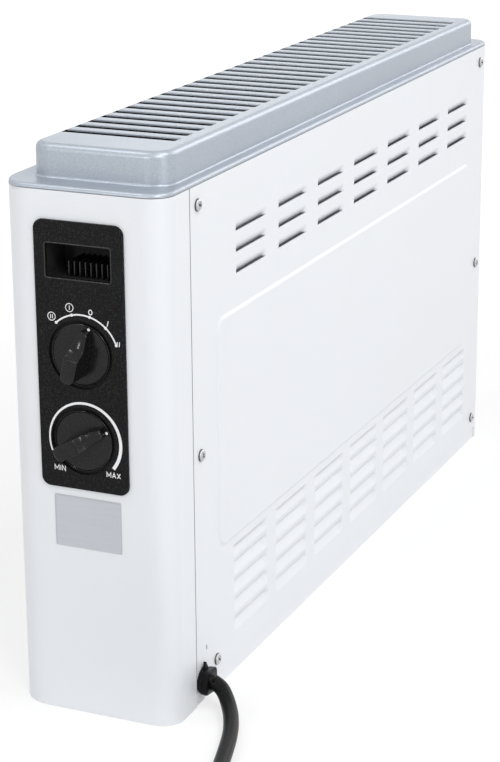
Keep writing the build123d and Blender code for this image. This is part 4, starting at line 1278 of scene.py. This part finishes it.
def screw_heads(material):
    """Pan heads with a cross recess: a polar height field that falls as a fourth power towards its rim."""
    angles = np.linspace(0, 2 * pi, 72, endpoint=False)
    rings = np.concatenate([[0.002], np.linspace(0.06, 0.66, 13), [0.74, 0.82, 0.89, 0.94, 0.975, 0.994, 1.0]])
    r, a = np.meshgrid(rings, angles, indexing="ij")
    x, y = screw_radius * r * np.cos(a), screw_radius * r * np.sin(a)
    height = screw_rise * np.sqrt(np.maximum(1 - r**4, 0))
    arm = 0.55 * mm
    cross = smooth((arm + 0.1 * mm - np.minimum(abs(x), abs(y))) / (0.2 * mm)) * smooth((0.58 - r) / 0.08)
    height = height - cross * 1.4 * mm * (1 - 0.9 * r)
    head = np.stack([x, y, height], axis=-1)
    shells = []
    for place_x, place_z, turn in screw_spots:
        across = (cos(radians(turn)), 0, sin(radians(turn)))
        shells.append(skin(placed(head, (place_x, back_y, place_z), (0, 1, 0), across), closed_columns=True))
    made = piece(
        "screw_heads", shells, material, replaces=["panel_screws"], angle=40, weld=0
    )
    # Painted shade mask: 1 in the cross recess and at the rim, where the plating is darkened
    depth = np.tile(np.maximum(cross, smooth((r - 0.9) / 0.08)).ravel(), len(screw_spots))
    made.data.attributes.new("soiled", "FLOAT", "POINT").data.foreach_set("value", depth.astype(np.float32))
    return made


def gland_bush(material):
    """Nylon strain relief: a round collar, an eight-sided grip block lofted towards the cord, a rounded latch
    beside the cord and a thin pointed tab above."""
    origin = np.array([gland_x, back_y - sheet, gland_z])
    collar = [(5.3, -4), (7.0, -4), (7.0, 0), (8.6, 0), (8.6, 3.0), (8.2, 3.6), (7.0, 3.8), (5.3, 3.8)]
    round_collar = placed(turned(np.array(collar) * mm, 48), origin, (0, 1, 0), (1, 0, 0))
    shells = outward([skin(round_collar, True, True)], origin)
    rows = [(3.0, 7.7), (6.6, 7.9), (7.4, 7.7), (7.9, 7.1), (8.4, 5.4)]
    block = []
    for height, size in rows:
        loop = rounded_loop((-size, -size), (size, size), (2.6,) * 4, 5)
        lean = radians(8)
        x = loop[:, 0] * cos(lean) - loop[:, 1] * sin(lean)
        z = loop[:, 0] * sin(lean) + loop[:, 1] * cos(lean)
        block.append(np.stack([x, np.full(len(x), height), z * 1.04], axis=1) * mm + origin)
    shells += outward(capped(np.array(block)), origin + [0, 5.5 * mm, 0])
    latch = [(0.01, 5), (3.0, 5), (3.2, 9.4), (2.9, 10.4), (2.1, 11.0), (0.01, 11.2)]
    seat = origin + np.array([3.0, 0, 3.6]) * mm
    round_latch = placed(turned(np.array(latch) * mm, 24), seat, (0, 1, 0), (1, 0, 0))
    shells += outward([skin(round_latch, closed_columns=True)], seat)
    tab = np.array([[-3.2, 7.2], [2.6, 7.6], [1.2, 13.4], [0.7, 13.5]])
    sides = [np.stack([tab[:, 0], np.full(4, depth), tab[:, 1]], axis=1) * mm + origin for depth in (2.4, 4.2)]
    shells += outward(capped(np.array(sides)), origin + [0, 3.3 * mm, 9 * mm])
    return evened(piece("gland_bush", shells, material, replaces=["cord_gland"]))


def plug_pieces(rubber, metal):
    """Round earthed plug along the cord's last run: a revolved body with ring grooves in its relief and
    shallow flutes round its grip, and two domed pins."""
    last, before = coil_points()[-1], coil_points()[-2]
    way = np.array([last[0] - before[0], last[1] - before[1], 0])
    way /= np.linalg.norm(way)
    start = last + way * coil_lead
    start[2] = last[2]
    profile = [(5.05, 0.2), (5.8, 0)]
    for number in range(5):
        z = 4 + number * 7
        r = 5.8 + (z / 42) * 1.7
        profile += [(r, z), (r - 0.2, z + 0.3), (r - 1.1, z + 0.4), (r - 1.1, z + 2.6)]
        profile += [(r - 0.1, z + 2.7), (r + 0.1, z + 3)]
    profile += [(7.5, 41), (7.8, 41.8), (9, 42.3), (11.5, 43), (12.6, 44.2), (13, 46)]
    profile += [(13, z) for z in np.arange(48, 68.1, 2)]
    profile += [(13.2, 69.5), (14, 70.8), (16, 71.5), (17.6, 72), (18.3, 72.8), (18.5, 74)]
    profile += [(18.5, 78.6), (18.2, 79.5), (17.4, 80), (12, 80), (0.01, 80)]
    profile = np.array(profile)
    points = turned(profile * mm, 96)
    angles = np.arange(96) * 2 * pi / 96
    grip = smooth((profile[:, 1] - 46) / 3) * smooth((68 - profile[:, 1]) / 3)
    flutes = 1 - 0.05 * grip[:, None] * np.maximum(np.cos(16 * angles), 0) ** 2
    points[..., :2] *= flutes[..., None]
    shells = [skin(placed(points, start, way, (0, 0, 1)), closed_columns=True)]
    shells = outward(shells, start + way * 60 * mm)
    body = piece("plug_moulding", shells, rubber, replaces=["plug_body"], angle=30)
    pin_profile = [(2.4, -1), (2.4, 16.2), (2.3, 17.2), (1.9, 18.2), (1.2, 18.8), (0.01, 19)]
    pins = []
    for side in (-1, 1):
        seat = start + way * 80 * mm + np.array([-way[1], way[0], 0]) * side * 9.5 * mm
        pin = placed(turned(np.array(pin_profile) * mm, 32), seat, way, (0, 0, 1))
        pins += outward([skin(pin, closed_columns=True)], seat)
    return body, evened(piece("plug_contacts", pins, metal, replaces=["plug_pins"]))


def paint_inside(materials):
    """Gives every node that stays from the frame the finish of its slot."""
    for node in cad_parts.values():
        if node.hide_render:
            continue
        slot = node.data.materials[0].name.split(".")[0]
        for index in range(len(node.data.materials)):
            node.data.materials[index] = materials[slot]


def make_floor():
    """Plain pale floor. It glows, more with the distance from the middle, so that it stays white to the eye and
    still takes a soft shadow near the object."""
    half = 6.0
    mesh = bpy.data.meshes.new("floor")
    corners = [(-half, -half, 0), (half, -half, 0), (half, half, 0), (-half, half, 0)]
    mesh.from_pydata(corners, [], [(0, 1, 2, 3)])
    made = bpy.data.objects.new("floor", mesh)
    bpy.context.scene.collection.objects.link(made)
    finish = Finish("floor_white", Base_Color=grey(0.86), Roughness=0.9)
    rays = finish.node("ShaderNodeLightPath")
    camera, glossy = [Wire(finish, rays.outputs[kind]) for kind in ("Is Camera Ray", "Is Glossy Ray")]
    seen = finish.maths("MAXIMUM", camera, glossy)
    x, y, _ = finish.axes()
    away = finish.maths("SQRT", x * x + y * y)
    share = floor_glow_near + (1 - floor_glow_near) * finish.step(away, *floor_glow_grows)
    glow = finish.node("ShaderNodeEmission", Color=grey(1.0), Strength=floor_glow)
    mix = finish.node("ShaderNodeMixShader", Fac=seen * share)
    finish.links.new(finish.shader.outputs[0], mix.inputs[1])
    finish.links.new(glow.outputs[0], mix.inputs[2])
    finish.links.new(mix.outputs[0], finish.nodes["Material Output"].inputs["Surface"])
    mesh.materials.append(finish.material)


def make_world():
    """White surroundings for what looks at them, and a softer fill for what they light."""
    world = bpy.data.worlds.new("world")
    world.use_nodes = True
    bpy.context.scene.world = world
    nodes, links = world.node_tree.nodes, world.node_tree.links
    rays = nodes.new("ShaderNodeLightPath")
    seen = nodes.new("ShaderNodeMath")
    seen.operation = "MAXIMUM"
    links.new(rays.outputs["Is Camera Ray"], seen.inputs[0])
    links.new(rays.outputs["Is Glossy Ray"], seen.inputs[1])
    level = nodes.new("ShaderNodeMapRange")
    level.inputs["To Min"].default_value = world_fill
    level.inputs["To Max"].default_value = 1.0
    links.new(seen.outputs[0], level.inputs["Value"])
    background = nodes["Background"]
    background.inputs["Color"].default_value = grey(1.0)
    links.new(level.outputs["Result"], background.inputs["Strength"])


def make_light(name, place, aim, size, power):
    """A square soft light at a place, turned to its aim."""
    data = bpy.data.lights.new(name, "AREA")
    data.shape = "SQUARE"
    data.size = size
    data.energy = power
    made = bpy.data.objects.new(name, data)
    made.location = place
    made.rotation_mode = "QUATERNION"
    made.rotation_quaternion = (Vector(aim) - Vector(place)).to_track_quat("-Z", "Y")
    bpy.context.scene.collection.objects.link(made)


make_camera()
make_world()
make_floor()
for name, (place, aim, size, power) in lamps.items():
    make_light(name, place, aim, size, power)

white = painted_sheet("casing_white_paint", 0.84)
ink = printed_ink()
black_plate = grained_plastic("control_plate_black", 0.007, 1200.0, 0.00004, 0.40, 0.09, flecks=0.45)
knob_skin = grained_plastic("knob_black_plastic", 0.006, 1400.0, 0.000012, 0.17, 0.25, flecks=0.3)
recess_skin = grained_plastic("recess_black_plastic", 0.022, 1300.0, 0.00003, 0.5, 0.08)
fin_skin = grained_plastic("fin_black_plastic", 0.008, 1600.0, 0.00001, 0.22, 0.5)
nylon = grained_plastic("gland_black_nylon", 0.004, 1500.0, 0.00002, 0.32, 0.15, flecks=0.2)
plug_skin = grained_plastic("plug_black_rubber", 0.014, 1700.0, 0.00003, 0.48, 0.3)
plated = bright_steel("zinc_plate", 0.62, 0.26, scratch=900.0)
nickel = bright_steel("pin_nickel_plate", 0.66, 0.16, scratch=1500.0, warm=1.02)
spindle = bright_steel("spindle_bright_steel", 0.55, 0.25, grain=(0.05, 1.0, 1.0))
galvanised = spangled_sheet()
sheath = bright_steel("element_sheath_steel", 0.36, 0.4, grain=(0.05, 1.0, 1.0), warm=1.05)
motor = bright_steel("motor_plated_steel", 0.45, 0.32, grain=(1.0, 1.0, 0.1))
moulding = coloured_moulding("switch_moulding_ivory", (0.62, 0.58, 0.47, 1), 0.4, 0.1)
terminal = coloured_moulding("terminal_white_nylon", (0.78, 0.78, 0.74, 1), 0.45, 0.1)
rotor = coloured_moulding("rotor_pale_plastic", (0.66, 0.67, 0.66, 1), 0.4, 0.1)
wires = coloured_moulding("wire_insulation", (0.50, 0.10, 0.05, 1), 0.4, 0.2)
rubber = cord_sheath()
silver = silver_moulding()

casing_shell(white)
back_sheet(white)
grille_moulding(silver)
control_plate(black_plate)
grip_recess(recess_skin, fin_skin)
seam_shadow_strip(nylon)
blank_label(label_foil())
dial_marks(ink)
pointer_knob("mode_pointer", mode_place, mode_rest, "mode_control", "mode_knob", knob_skin)
pointer_knob(
    "thermostat_pointer", thermostat_place, thermostat_rest, "thermostat_control", "thermostat_knob", knob_skin
)
pointer_dot("mode_dot", mode_place, mode_rest, "mode_control", ink)
pointer_dot("thermostat_dot", thermostat_place, thermostat_rest, "thermostat_control", ink)
screw_heads(screw_plating())
gland_bush(nylon)
cord = mains_cord(rubber)
cord_tie(woven_tie())
plug, contacts = plug_pieces(plug_skin, nickel)
paint_inside(
    {
        "casing_white": white,
        "screw_steel": plated,
        "shaft_steel": spindle,
        "switch_moulding": moulding,
        "inner_sheet": galvanised,
        "element_sheath": sheath,
        "motor_steel": motor,
        "rotor_plastic": rotor,
        "terminal_white": terminal,
        "cord_rubber": rubber,
        "wire_insulation": wires,
    }
)

scene = bpy.context.scene
scene.view_settings.view_transform = "Standard"
